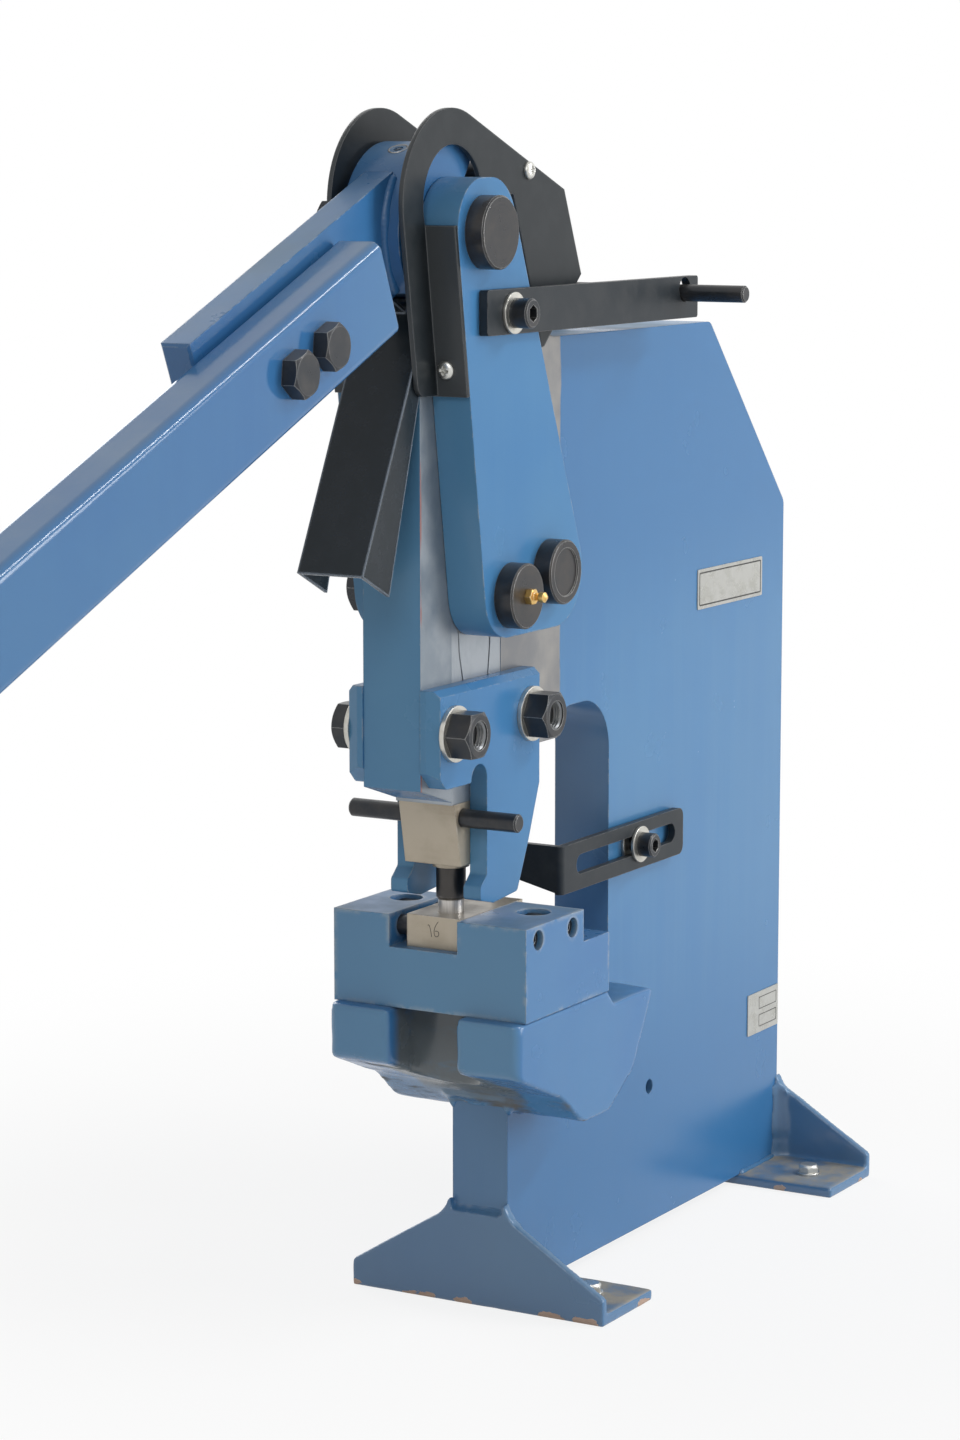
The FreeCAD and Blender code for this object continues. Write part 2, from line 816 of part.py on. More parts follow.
def ring_sector(inner, outer, front_angle, rear_angle, half_width):
    """Piece of a ring about the fulcrum; angles are forward of upright."""
    points = []
    for radius, angle in ((inner, front_angle), (outer, front_angle), (outer, rear_angle),
                          (inner, rear_angle)):
        points.append(around_fulcrum(radius, angle))
    middle = (front_angle + rear_angle) / 2
    edges = [
        Part.LineSegment(points[0], points[1]).toShape(),
        Part.Arc(points[1], around_fulcrum(outer, middle), points[2]).toShape(),
        Part.LineSegment(points[2], points[3]).toShape(),
        Part.Arc(points[3], around_fulcrum(inner, middle), points[0]).toShape(),
    ]
    face = Part.Face(Part.Wire(edges))
    face.translate(at(-half_width, 0, 0))
    return face.extrude(at(2 * half_width, 0, 0))


def around_fulcrum(radius, forward_angle):
    turn = math.radians(forward_angle)
    return at(0, fulcrum_y - radius * math.sin(turn), fulcrum_z + radius * math.cos(turn))


def sector_pin_places():
    radius = sector_seat_radius - sector_tongue_depth / 2
    return [(around_fulcrum(radius, angle).y, around_fulcrum(radius, angle).z)
            for angle in sector_pin_angles]


def tooth_half_angle(radius, pitch_radius, teeth):
    """Half the angle that an involute tooth fills at a radius, in radians."""
    base_radius = pitch_radius * math.cos(math.radians(pressure_angle))
    pitch_roll = math.radians(pressure_angle)
    pitch_involute = math.tan(pitch_roll) - pitch_roll
    roll = math.acos(min(1, base_radius / radius))
    involute = math.tan(roll) - roll
    pitch_half = math.pi / (2 * teeth) - tooth_thinning / 2 / pitch_radius
    return pitch_half + pitch_involute - involute


def tooth(centre_y, centre_z, pitch_radius, teeth, direction, root_inset, half_width):
    """One involute tooth on a wheel, pointing along a direction in degrees from +Y."""
    base_radius = pitch_radius * math.cos(math.radians(pressure_angle))
    tip_radius = pitch_radius + addendum_share * tooth_module
    root_radius = pitch_radius - dedendum_share * tooth_module
    start_radius = max(base_radius, root_radius)
    sides = {}
    for side in (-1, 1):
        flank = []
        for step in range(flank_steps + 1):
            radius = start_radius + (tip_radius - start_radius) * step / flank_steps
            turn = math.radians(direction) + side * tooth_half_angle(radius, pitch_radius, teeth)
            flank.append(at(0, centre_y + radius * math.cos(turn), centre_z + radius * math.sin(turn)))
        turn = math.radians(direction) + side * tooth_half_angle(start_radius, pitch_radius, teeth)
        inner = root_radius - root_inset
        foot = at(0, centre_y + inner * math.cos(turn), centre_z + inner * math.sin(turn))
        sides[side] = (foot, flank)
    tip_turn = math.radians(direction)
    tip = at(0, centre_y + tip_radius * math.cos(tip_turn), centre_z + tip_radius * math.sin(tip_turn))
    edges = []
    for side in (-1, 1):
        foot, flank = sides[side]
        curve = Part.BSplineCurve()
        curve.interpolate(flank)
        edges.append(Part.LineSegment(foot, flank[0]).toShape())
        edges.append(curve.toShape())
    edges.append(Part.Arc(sides[-1][1][-1], tip, sides[1][1][-1]).toShape())
    edges.append(Part.LineSegment(sides[-1][0], sides[1][0]).toShape())
    face = Part.Face(Part.Wire(Part.__sortEdges__(edges)))
    face.translate(at(-half_width, 0, 0))
    return face.extrude(at(2 * half_width, 0, 0))


def make_gear_sector():
    ring = ring_sector(sector_seat_radius, sector_root_radius, sector_front_angle,
                       sector_rear_angle, hub_half_width)
    tongue = ring_sector(sector_seat_radius - sector_tongue_depth, sector_seat_radius + cut_over,
                         sector_front_angle, sector_rear_angle, sector_tongue_half)
    pieces = [ring, tongue]
    tooth_pitch = full_turn / sector_teeth
    line_of_centres = quarter_turn + math.degrees(lean)
    for number in range(sector_tooth_first, sector_tooth_last + 1):
        direction = line_of_centres + number * tooth_pitch + tooth_pitch / 2
        pieces.append(tooth(fulcrum_y, fulcrum_z, sector_pitch_radius, sector_teeth, direction,
                            tooth_module / 2, hub_half_width))
    sector = joined(pieces)
    holes = [rod_x(sector_pin_radius + pin_fit, -half_frame, half_frame, y, z)
             for y, z in sector_pin_places()]
    return without(sector, holes)


def make_sector_pins():
    return group([rod_x(sector_pin_radius, -half_frame, half_frame, y, z)
                  for y, z in sector_pin_places()])


def lever_turned(shape):
    """Lay a lever piece, drawn pointing straight forward, at the lever's rest angle."""
    turned = shape.copy()
    turned.rotate(at(0, top_pivot_y, top_pivot_z), at(1, 0, 0), lever_angle)
    return turned


def along_lever(distance):
    return top_pivot_y - distance


def across_lever(height):
    return top_pivot_z + height


def make_lever_hub():
    root_radius = hub_pitch_radius - dedendum_share * tooth_module
    core = rod_x(root_radius, -hub_half_width, hub_half_width, top_pivot_y, top_pivot_z)
    start = math.radians(hub_round_start)
    end = math.radians(hub_round_end)
    middle = (start + end) / 2
    centre = at(0, top_pivot_y, top_pivot_z)

    def rim(turn):
        return centre + at(0, hub_round_radius * math.cos(turn), hub_round_radius * math.sin(turn))

    edges = [
        Part.Arc(rim(start), rim(middle), rim(end)).toShape(),
        Part.LineSegment(rim(end), centre).toShape(),
        Part.LineSegment(centre, rim(start)).toShape(),
    ]
    face = Part.Face(Part.Wire(edges))
    face.translate(at(-hub_half_width, 0, 0))
    round_part = face.extrude(at(2 * hub_half_width, 0, 0))
    pieces = [core, round_part]
    to_fulcrum = facing_down + math.degrees(lean)
    for number in range(hub_tooth_first, hub_tooth_last + 1):
        direction = to_fulcrum + number * full_turn / hub_teeth
        pieces.append(tooth(top_pivot_y, top_pivot_z, hub_pitch_radius, hub_teeth, direction,
                            tooth_module / 2, hub_half_width))
    arm = block(-arm_half_thickness, arm_half_thickness, along_lever(arm_end), along_lever(arm_start),
                across_lever(arm_low), across_lever(arm_high))
    far_edges = [edge for edge in arm.Edges if abs(edge.BoundBox.YMax - along_lever(arm_end)) < pin_fit]
    arm = arm.makeChamfer(arm_edge_round / 2, far_edges)
    pieces.append(lever_turned(arm))
    hub = joined(pieces)
    cuts = [rod_x(top_pin_radius + pin_fit, -hub_half_width - cut_over, hub_half_width + cut_over,
                  top_pivot_y, top_pivot_z)]
    oil = rod_z(oil_hole_radius, across_lever(hub_round_radius - oil_hole_depth),
                across_lever(hub_round_radius + cut_over), 0, top_pivot_y)
    cuts.append(lever_turned(oil))
    for distance in (lever_bolt_near, lever_bolt_far):
        hole = rod_x(lever_bolt_radius + pin_fit, -arm_half_thickness - cut_over,
                     arm_half_thickness + cut_over, along_lever(distance),
                     across_lever(lever_bolt_across))
        cuts.append(lever_turned(hole))
    for distance in cover_screw_places():
        hole = rod_z(cover_screw_radius + pin_fit, across_lever(arm_low) - cut_over,
                     across_lever(arm_low) + cover_screw_depth, 0, along_lever(distance))
        cuts.append(lever_turned(hole))
    return without(hub, cuts)


def make_lever_tube():
    length = lever_length - cap_thickness - tube_start
    y_from = along_lever(lever_length - cap_thickness)
    outer = lever_section(0, tube_round)
    inner = lever_section(tube_wall, tube_round - tube_wall)
    tube = outer.extrude(at(0, length, 0)).cut(inner.extrude(at(0, length, 0)))
    tube.translate(at(0, y_from, 0))
    for distance in (lever_bolt_near, lever_bolt_far):
        tube = tube.cut(rod_x(lever_bolt_radius + pin_fit, 0, tube_right_x + cut_over,
                              along_lever(distance), across_lever(lever_bolt_across)))
    return lever_turned(tube)


def lever_section(inset, radius):
    left = arm_half_thickness + inset
    right = tube_right_x - inset
    low = across_lever(arm_low + inset)
    high = across_lever(tube_high - inset)
    return Part.Face(outline([(left, low, radius), (right, low, radius), (right, high, radius),
                              (left, high, radius)], on_front))


def make_tube_end_cap():
    y_from = along_lever(lever_length)
    cover = lever_section(0, tube_round).extrude(at(0, cap_thickness, 0))
    plug = lever_section(tube_wall + seam_gap, tube_round - tube_wall)
    plug = plug.extrude(at(0, cap_plug_length, 0))
    plug.translate(at(0, cap_thickness, 0))
    cap = joined([cover, plug])
    cap.translate(at(0, y_from, 0))
    return lever_turned(cap)


def make_lever_bolts():
    bolts = []
    for distance in (lever_bolt_near, lever_bolt_far):
        y = along_lever(distance)
        z = across_lever(lever_bolt_across)
        head = hex_x(lever_bolt_flats, tube_right_x, tube_right_x + lever_bolt_head, y, z, 1)
        shank = rod_x(lever_bolt_radius, -arm_half_thickness - lever_nut_height - cut_over,
                      tube_right_x, y, z)
        bolts.append(lever_turned(joined([head, shank])))
        nut = hex_x(lever_bolt_flats, -arm_half_thickness - lever_nut_height, -arm_half_thickness,
                    y, z, -1)
        hole = rod_x(lever_bolt_radius + pin_fit, -tube_right_x, 0, y, z)
        bolts.append(lever_turned(nut.cut(hole)))
    return group(bolts)


def cover_screw_places():
    return [cover_tab_bend + cover_tab_length * share for share in cover_screw_shares]


def along_cover(distance, depth):
    """Point on the cover's side, measured up its front edge and back from it."""
    turn = math.radians(cover_angle)
    y = cover_low_y + distance * math.cos(turn) + depth * math.sin(turn)
    z = cover_low_z + distance * math.sin(turn) - depth * math.cos(turn)
    return (y, z)


def make_finger_cover():
    front = side_plate([
        (*along_cover(0, 0), 0),
        (*along_cover(cover_length, 0), 0),
        (*along_cover(cover_length, cover_sheet), 0),
        (*along_cover(0, cover_sheet), 0),
    ], -cover_half_width, cover_half_width)
    side = side_plate([
        (*along_cover(0, 0), 0),
        (*along_cover(cover_side_length, 0), 0),
        (*along_cover(cover_side_length, cover_side_high), cover_side_round),
        (*along_cover(0, cover_side_low), 0),
    ], cover_half_width - cover_sheet, cover_half_width)
    pieces = [front, side, mirrored(side)]
    tab = block(-cover_tab_half, cover_tab_half, along_lever(cover_tab_bend + cover_tab_length),
                along_lever(cover_tab_bend), across_lever(arm_low - cover_sheet),
                across_lever(arm_low))
    pieces.append(lever_turned(tab))
    tab_end = lever_point(cover_tab_bend, arm_low)
    tab_under = lever_point(cover_tab_bend, arm_low - cover_sheet)
    tab_back = lever_point(cover_tab_bend + cover_sheet, arm_low - cover_sheet)
    pieces.append(side_plate([
        (*tab_end, 0),
        (*along_cover(cover_length, cover_sheet), 0),
        (*along_cover(cover_length - cover_sheet, 0), 0),
        (*tab_back, 0),
        (*tab_under, 0),
    ], -cover_tab_half, cover_tab_half))
    cover = joined(pieces)
    holes = []
    for distance in cover_screw_places():
        holes.append(lever_turned(rod_z(cover_screw_radius + pin_fit,
                                        across_lever(arm_low - cover_sheet) - cut_over,
                                        across_lever(arm_low) + cut_over, 0, along_lever(distance))))
    return without(cover, holes)


def lever_point(distance, height):
    turn = math.radians(lever_angle)
    y = top_pivot_y - distance * math.cos(turn) - height * math.sin(turn)
    z = top_pivot_z - distance * math.sin(turn) + height * math.cos(turn)
    return (y, z)


def make_cover_screws():
    screws = []
    seat = arm_low - cover_sheet
    for distance in cover_screw_places():
        head = rod_z(cover_screw_head_radius, across_lever(seat - cover_screw_head),
                     across_lever(seat), 0, along_lever(distance))
        shank = rod_z(cover_screw_radius, across_lever(seat), across_lever(arm_low) + cover_screw_depth,
                      0, along_lever(distance))
        screws.append(lever_turned(joined([head, shank])))
    return group(screws)


# Rocker

def front_edge_y(z):
    return rocker_front_low_y + front_slope * (z - rocker_bottom_z)


def make_rocker_plate():
    body = side_plate([
        (rocker_front_low_y, rocker_bottom_z, rocker_front_round),
        (rocker_rear_low_y, rocker_bottom_z, rocker_rear_round),
        (rocker_rear_top_y, rocker_top_z, rocker_top_round),
        (rocker_front_top_y, rocker_top_z, rocker_top_round),
    ], rocker_inner_x, rocker_outer_x)
    x_from = rocker_inner_x - cut_over
    x_to = rocker_outer_x + cut_over
    holes = [
        rod_x(fulcrum_radius + pin_fit, x_from, x_to, fulcrum_y, fulcrum_z),
        rod_x(ram_pin_radius + pin_fit, x_from, x_to, ram_pivot_y, ram_pivot_z),
        rod_x(top_pin_radius + pin_fit, x_from, x_to, top_pivot_y, top_pivot_z),
        rod_x(bar_screw_radius + pin_fit, rocker_outer_x - bar_screw_depth, x_to,
              bar_pivot_y, bar_pivot_z),
        flange_screw_rod(guard_screw_radius + pin_fit, guard_screw_depth),
    ]
    return without(body, holes)


def flange_normal():
    lean_turn = math.atan(front_slope)
    return at(0, -math.cos(lean_turn), math.sin(lean_turn))


def flange_screw_rod(radius, depth):
    """Rod at the flange screw's place, from the plate's front edge into it."""
    x = (rocker_inner_x + rocker_outer_x) / 2
    start = at(x, front_edge_y(guard_screw_z), guard_screw_z)
    inward = flange_normal() * -1
    outer = start + flange_normal() * (guard_sheet + guard_seat_gap)
    return Part.makeCylinder(radius, depth + guard_sheet + guard_seat_gap, outer, inward)


def make_pin(head_radius, radius, y, z, dished):
    """Pivot pin: round head at the right, plain shank, reduced end for the nut."""
    head = turned_x([(0, 0), (0, head_radius), (pin_head_height - pin_head_round, head_radius),
                     (pin_head_height, head_radius - pin_head_round), (pin_head_height, 0)],
                    rocker_outer_x, 1, y, z)
    shank = rod_x(radius, -pin_end_x, rocker_outer_x, y, z)
    pin = joined([head, shank])
    if dished:
        face_x = rocker_outer_x + pin_head_height
        pin = pin.cut(rod_x(dish_radius, face_x - dish_depth, face_x + cut_over, y, z))
    return pin


def make_fulcrum_pin():
    return make_pin(fulcrum_head_radius, fulcrum_radius, fulcrum_y, fulcrum_z, True)


def make_ram_pin():
    pin = make_pin(ram_pin_head_radius, ram_pin_radius, ram_pivot_y, ram_pivot_z, False)
    face_x = rocker_outer_x + pin_head_height
    grease_way = rod_x(nipple_neck_radius, face_x - oil_hole_depth, face_x + cut_over,
                       ram_pivot_y, ram_pivot_z)
    return pin.cut(grease_way)


def make_top_pin():
    return make_pin(top_pin_head_radius, top_pin_radius, top_pivot_y, top_pivot_z, False)


def make_pin_nuts():
    nuts = []
    for y, z, radius, flats in ((fulcrum_y, fulcrum_z, fulcrum_radius, pin_nut_flats),
                                (ram_pivot_y, ram_pivot_z, ram_pin_radius, ram_pin_nut_flats),
                                (top_pivot_y, top_pivot_z, top_pin_radius, pin_nut_flats)):
        across = max(flats, 2 * radius + 2 * cut_over)
        nut = hex_x(across, -pin_end_x, -rocker_outer_x, y, z, -1)
        nuts.append(nut.cut(rod_x(radius + pin_fit, -pin_end_x - cut_over, 0, y, z)))
    return group(nuts)


def make_grease_nipple():
    face_x = rocker_outer_x + pin_head_height
    hexagon = hex_x(nipple_hex_flats, face_x, face_x + nipple_hex_height, ram_pivot_y, ram_pivot_z, 1)
    neck_end = nipple_length - 2 * nipple_ball_radius
    profile = [(0, 0), (0, nipple_neck_radius), (neck_end, nipple_neck_radius),
               (neck_end + nipple_ball_radius / 2, nipple_ball_radius),
               (nipple_length - nipple_ball_radius / 2, nipple_ball_radius),
               (nipple_length, nipple_neck_radius / 2), (nipple_length, 0)]
    return joined([hexagon, turned_x(profile, face_x, 1, ram_pivot_y, ram_pivot_z)])


# Guards

def make_guard():
    """Bent sheet guard at the right of the rocker head."""
    x_from = guard_inner_x
    x_to = guard_inner_x + guard_sheet
    arch_centre = (guard_arch_y, guard_arch_z)
    rear_peak = (guard_peak_rear_y, guard_peak_rear_z)
    strip_low = (guard_strip_low_y, guard_strip_low_z)
    top_touch = touch_point(arch_centre, guard_arch_radius, rear_peak, 1)
    front_touch = touch_point(arch_centre, guard_arch_radius, strip_low, -1)
    sheet = side_plate([
        (*strip_low, guard_strip_round),
        (*front_touch, 0),
        (guard_arch_y, guard_arch_z, 0),
        (*top_touch, 0),
        (*rear_peak, 0),
        (guard_rear_y, guard_rear_z, 0),
        (guard_tip_y, guard_tip_z, 0),
        (front_edge_y(guard_strip_low_z), guard_strip_low_z, 0),
    ], x_from, x_to)
    sheet = joined([sheet, rod_x(guard_arch_radius, x_from, x_to, guard_arch_y, guard_arch_z)])
    seat = guard_seat_gap
    opening = side_plate([
        (front_edge_y(guard_strip_low_z - cut_over) - seat, guard_strip_low_z - cut_over, 0),
        (front_edge_y(guard_flange_top_z) - seat, guard_flange_top_z, 0),
        (window_y - window_radius, window_z, 0),
        (window_y, window_z, 0),
        (window_y + math.sqrt(window_radius ** 2 - (window_shelf_z - window_z) ** 2), window_shelf_z, 0),
        (window_rear_y, window_shelf_z, 0),
        (window_tip_y, window_tip_z, 0),
        (guard_tip_y, guard_strip_low_z - cut_over, 0),
    ], x_from - cut_over, x_to + cut_over)
    arch = rod_x(window_radius, x_from - cut_over, x_to + cut_over, window_y, window_z)
    sheet = without(sheet, [opening, arch])
    flange = make_guard_flange()
    guard = joined([sheet, flange])
    hole = rod_x(guard_screw_radius + pin_fit, x_from - cut_over, x_to + cut_over, spacer_y, spacer_z)
    return without(guard, [hole, flange_screw_rod(guard_screw_radius + pin_fit, guard_screw_depth)])


def make_guard_flange():
    """Lip bent outward in front of the rocker plate's edge."""
    normal = flange_normal()
    near = guard_seat_gap
    far = guard_seat_gap + guard_sheet
    low_z = guard_strip_low_z
    points = []
    for z, offset in ((low_z, near), (guard_flange_top_z, near), (guard_flange_top_z, far), (low_z, far)):
        spot = at(0, front_edge_y(z), z) + normal * offset
        points.append(at(guard_inner_x, spot.y, spot.z))
    face = Part.Face(Part.makePolygon(points + [points[0]]))
    return face.extrude(at(rocker_outer_x - guard_inner_x, 0, 0))


def make_guard_spacer():
    spacer = rod_x(spacer_radius, -guard_inner_x, guard_inner_x, spacer_y, spacer_z)
    bore = rod_x(guard_screw_radius + pin_fit, -guard_inner_x - cut_over, guard_inner_x + cut_over,
                 spacer_y, spacer_z)
    return spacer.cut(bore)


def pan_profile(head_radius, height):
    return [(0, 0), (0, head_radius), (height * pan_rim_share, head_radius),
            (height * pan_dome_height_share, head_radius * pan_dome_share),
            (height, head_radius * pan_rim_share), (height, 0)]


def make_guard_screws():
    seat_x = guard_inner_x + guard_sheet
    head = turned_x(pan_profile(guard_screw_head_radius, guard_screw_head), seat_x, 1,
                    spacer_y, spacer_z)
    shank = rod_x(guard_screw_radius, seat_x - guard_screw_depth, seat_x, spacer_y, spacer_z)
    rear = joined([head, shank])
    flange_head = turned_x(pan_profile(guard_screw_head_radius, guard_screw_head), 0, 1, 0, 0)
    normal = flange_normal()
    flange_head.rotate(at(0, 0, 0), at(0, 0, 1), -quarter_turn)
    flange_head.rotate(at(0, 0, 0), at(1, 0, 0), -math.degrees(math.atan(front_slope)))
    x = (rocker_inner_x + rocker_outer_x) / 2
    foot = at(x, front_edge_y(guard_screw_z), guard_screw_z) + normal * (guard_sheet + guard_seat_gap)
    flange_head.translate(foot)
    front = joined([flange_head, flange_screw_rod(guard_screw_radius, guard_screw_depth)])
    return group([rear, mirrored(rear), front, mirrored(front)])


# Stop yoke

def make_stop_bar():
    bar = side_plate([
        (bar_front_y, bar_low_z, bar_edge_round),
        (bar_back_y, bar_low_z, bar_edge_round),
        (bar_back_y, bar_high_z, bar_edge_round),
        (bar_front_y, bar_high_z, bar_edge_round),
    ], bar_inner_x, bar_outer_x)
    return without(bar, [
        rod_x(bar_screw_radius + pin_fit, bar_inner_x - cut_over, bar_outer_x + cut_over,
              bar_pivot_y, bar_pivot_z),
        rod_x(bar_rear_hole_radius, bar_inner_x - cut_over, bar_outer_x + cut_over,
              bar_rear_hole_y, bar_rear_hole_z),
    ])


def chamfered_rod_x(radius, x_from, x_to, y, z):
    length = x_to - x_from
    return turned_x([(0, 0), (0, radius - rod_chamfer), (rod_chamfer, radius),
                     (length - rod_chamfer, radius), (length, radius - rod_chamfer), (length, 0)],
                    x_from, 1, y, z)


def make_stop_rod():
    z = bar_rear_hole_z - bar_rear_hole_radius + stop_rod_radius + stop_rod_rest_gap
    return chamfered_rod_x(stop_rod_radius, -stop_rod_reach, stop_rod_reach, bar_rear_hole_y, z)


def make_bar_screws():
    seat_x = bar_outer_x + bar_gap + bar_washer_thickness
    shank_length = seat_x - rocker_outer_x + bar_screw_depth
    screw = cap_screw_x(seat_x, 1, bar_pivot_y, bar_pivot_z, bar_screw_head_radius, bar_screw_head,
                        bar_screw_radius, shank_length)
    return group([screw, mirrored(screw)])


def make_bar_washers():
    x_from = bar_outer_x + bar_gap
    ring = washer_x(bar_washer_radius, bar_screw_radius + pin_fit, x_from, x_from + bar_washer_thickness,
                    bar_pivot_y, bar_pivot_z)
    return group([ring, mirrored(ring)])


# Ram and punch

def link_side(share, half):
    """Point beside the link's centre line, at a share of the way from its foot to its eye."""
    run = math.hypot(ram_pivot_y - socket_y, ram_pivot_z - socket_z)
    aside_y = half * (ram_pivot_z - socket_z) / run
    aside_z = half * (socket_y - ram_pivot_y) / run
    y = socket_y + share * (ram_pivot_y - socket_y) + aside_y
    z = socket_z + share * (ram_pivot_z - socket_z) + aside_z
    return (y, z)


def link_outline(gap, top_share):
    """Sides of the link from its foot up, with a gap all round."""
    stations = [(0, link_waist_half), (link_waist_share, link_waist_half),
                (link_shoulder_share, link_eye_radius), (top_share, link_eye_radius)]
    rear = [(*link_side(share, half + gap), 0) for share, half in stations]
    front = [(*link_side(share, -half - gap), 0) for share, half in reversed(stations)]
    return rear + front


def make_pressure_link():
    half = hub_half_width
    foot = rod_x(link_foot_radius, -half, half, socket_y, socket_z)
    eye = rod_x(link_eye_radius, -half, half, ram_pivot_y, ram_pivot_z)
    body = side_plate(link_outline(0, 1), -half, half)
    bore = rod_x(ram_pin_radius + pin_fit, -half - cut_over, half + cut_over, ram_pivot_y, ram_pivot_z)
    return joined([foot, eye, body]).cut(bore)


def make_ram():
    """Sliding block whose socket holds the link's foot under two lips."""
    half = half_frame - running_gap
    front_y = block_back_y + running_gap
    back_y = jaw_front_y - running_gap
    body = side_plate([
        (front_y, punch_holder_top_z, 0),
        (back_y, punch_holder_top_z, 0),
        (back_y, ram_rear_top_z, 0),
        (socket_y, ram_rear_top_z, 0),
        (socket_y, ram_front_top_z, 0),
        (front_y, ram_front_top_z, 0),
    ], -half, half)
    socket = rod_x(link_foot_radius + link_fit, -half_frame - cut_over, half_frame + cut_over,
                   socket_y, socket_z)
    slot = side_plate(link_outline(link_side_gap, 1), -half_frame - cut_over, half_frame + cut_over)
    return without(body, [socket, slot])


def make_punch_holder():
    half = half_frame - running_gap
    body = side_plate([
        (punch_holder_front_low_y, punch_holder_low_z, 0),
        (punch_holder_back_y, punch_holder_low_z, 0),
        (punch_holder_back_y, punch_holder_top_z, 0),
        (punch_holder_front_top_y, punch_holder_top_z, 0),
    ], -half, half)
    return without(body, [
        rod_x(cross_rod_radius + pin_fit, -half - cut_over, half + cut_over, cross_rod_y, cross_rod_z),
        rod_z(punch_shank_radius + pin_fit, punch_holder_low_z - cut_over, punch_top_z() + pin_fit, 0, 0),
    ])


def punch_top_z():
    return cross_rod_z - cross_rod_radius


def make_cross_rod():
    return chamfered_rod_x(cross_rod_radius, -cross_rod_half_length, cross_rod_half_length,
                           cross_rod_y, cross_rod_z)


def make_punch():
    tip = rod_z(punch_tip_radius, punch_bottom_z, punch_shoulder_z, 0, 0)
    cone = Part.makeCone(punch_tip_radius, punch_shank_radius, punch_cone, at(0, 0, punch_shoulder_z))
    shank = rod_z(punch_shank_radius, punch_shoulder_z + punch_cone, punch_top_z(), 0, 0)
    return joined([tip, cone, shank])


def make_punch_collar():
    ring = rod_z(collar_radius, collar_low_z, punch_holder_low_z, 0, 0)
    return ring.cut(rod_z(punch_shank_radius + pin_fit, collar_low_z - cut_over,
                          punch_holder_low_z + cut_over, 0, 0))


# Back gauge

def make_back_gauge():
    half_slot = gauge_slot_half
    arm = side_plate([
        (gauge_front_y, gauge_low_z, 0),
        (gauge_back_y, gauge_low_z, gauge_end_round),
        (gauge_back_y, gauge_high_z, gauge_end_round),
        (gauge_front_y, gauge_high_z, 0),
    ], gauge_inner_x, gauge_outer_x)
    leg = front_plate([
        (gauge_leg_left_x, gauge_leg_high_low_z, gauge_end_round),
        (gauge_outer_x, gauge_low_z, 0),
        (gauge_outer_x, gauge_high_z, 0),
        (gauge_leg_left_x, gauge_high_z, gauge_end_round),
    ], gauge_front_y, gauge_front_y + gauge_thickness)
    gauge = joined([arm, leg])
    bend = [edge for edge in gauge.Edges
            if abs(edge.BoundBox.XMin - gauge_outer_x) < pin_fit
            and abs(edge.BoundBox.YMax - gauge_front_y) < pin_fit
            and edge.BoundBox.ZLength > gauge_thickness]
    gauge = gauge.makeFillet(gauge_bend_round, bend)
    slot = side_plate([
        (gauge_slot_front_y, gauge_screw_z - half_slot, half_slot - pin_fit),
        (gauge_slot_back_y, gauge_screw_z - half_slot, half_slot - pin_fit),
        (gauge_slot_back_y, gauge_screw_z + half_slot, half_slot - pin_fit),
        (gauge_slot_front_y, gauge_screw_z + half_slot, half_slot - pin_fit),
    ], gauge_inner_x - cut_over, gauge_outer_x + cut_over)
    return gauge.cut(slot)


def make_gauge_screw():
    seat_x = gauge_outer_x + gauge_gap + gauge_washer_thickness
    return cap_screw_x(seat_x, 1, gauge_screw_y, gauge_screw_z, gauge_screw_head_radius,
                       gauge_screw_head, gauge_screw_radius,
                       seat_x - half_frame + gauge_screw_depth - seam_gap)


def make_gauge_washers():
    rear = washer_x(gauge_washer_radius, gauge_screw_radius + pin_fit, half_frame,
                    gauge_inner_x - gauge_gap, gauge_screw_y, gauge_screw_z)
    front_from = gauge_outer_x + gauge_gap
    front = washer_x(gauge_washer_radius, gauge_screw_radius + pin_fit, front_from,
                     front_from + gauge_washer_thickness, gauge_screw_y, gauge_screw_z)
    return group([rear, front])


def write_part(name, shape):
    placed = shape.copy()
    placed.translate(at(0, -base_centre_y, die_top_above_floor))
    placed.exportStep("parts/" + name + ".step")


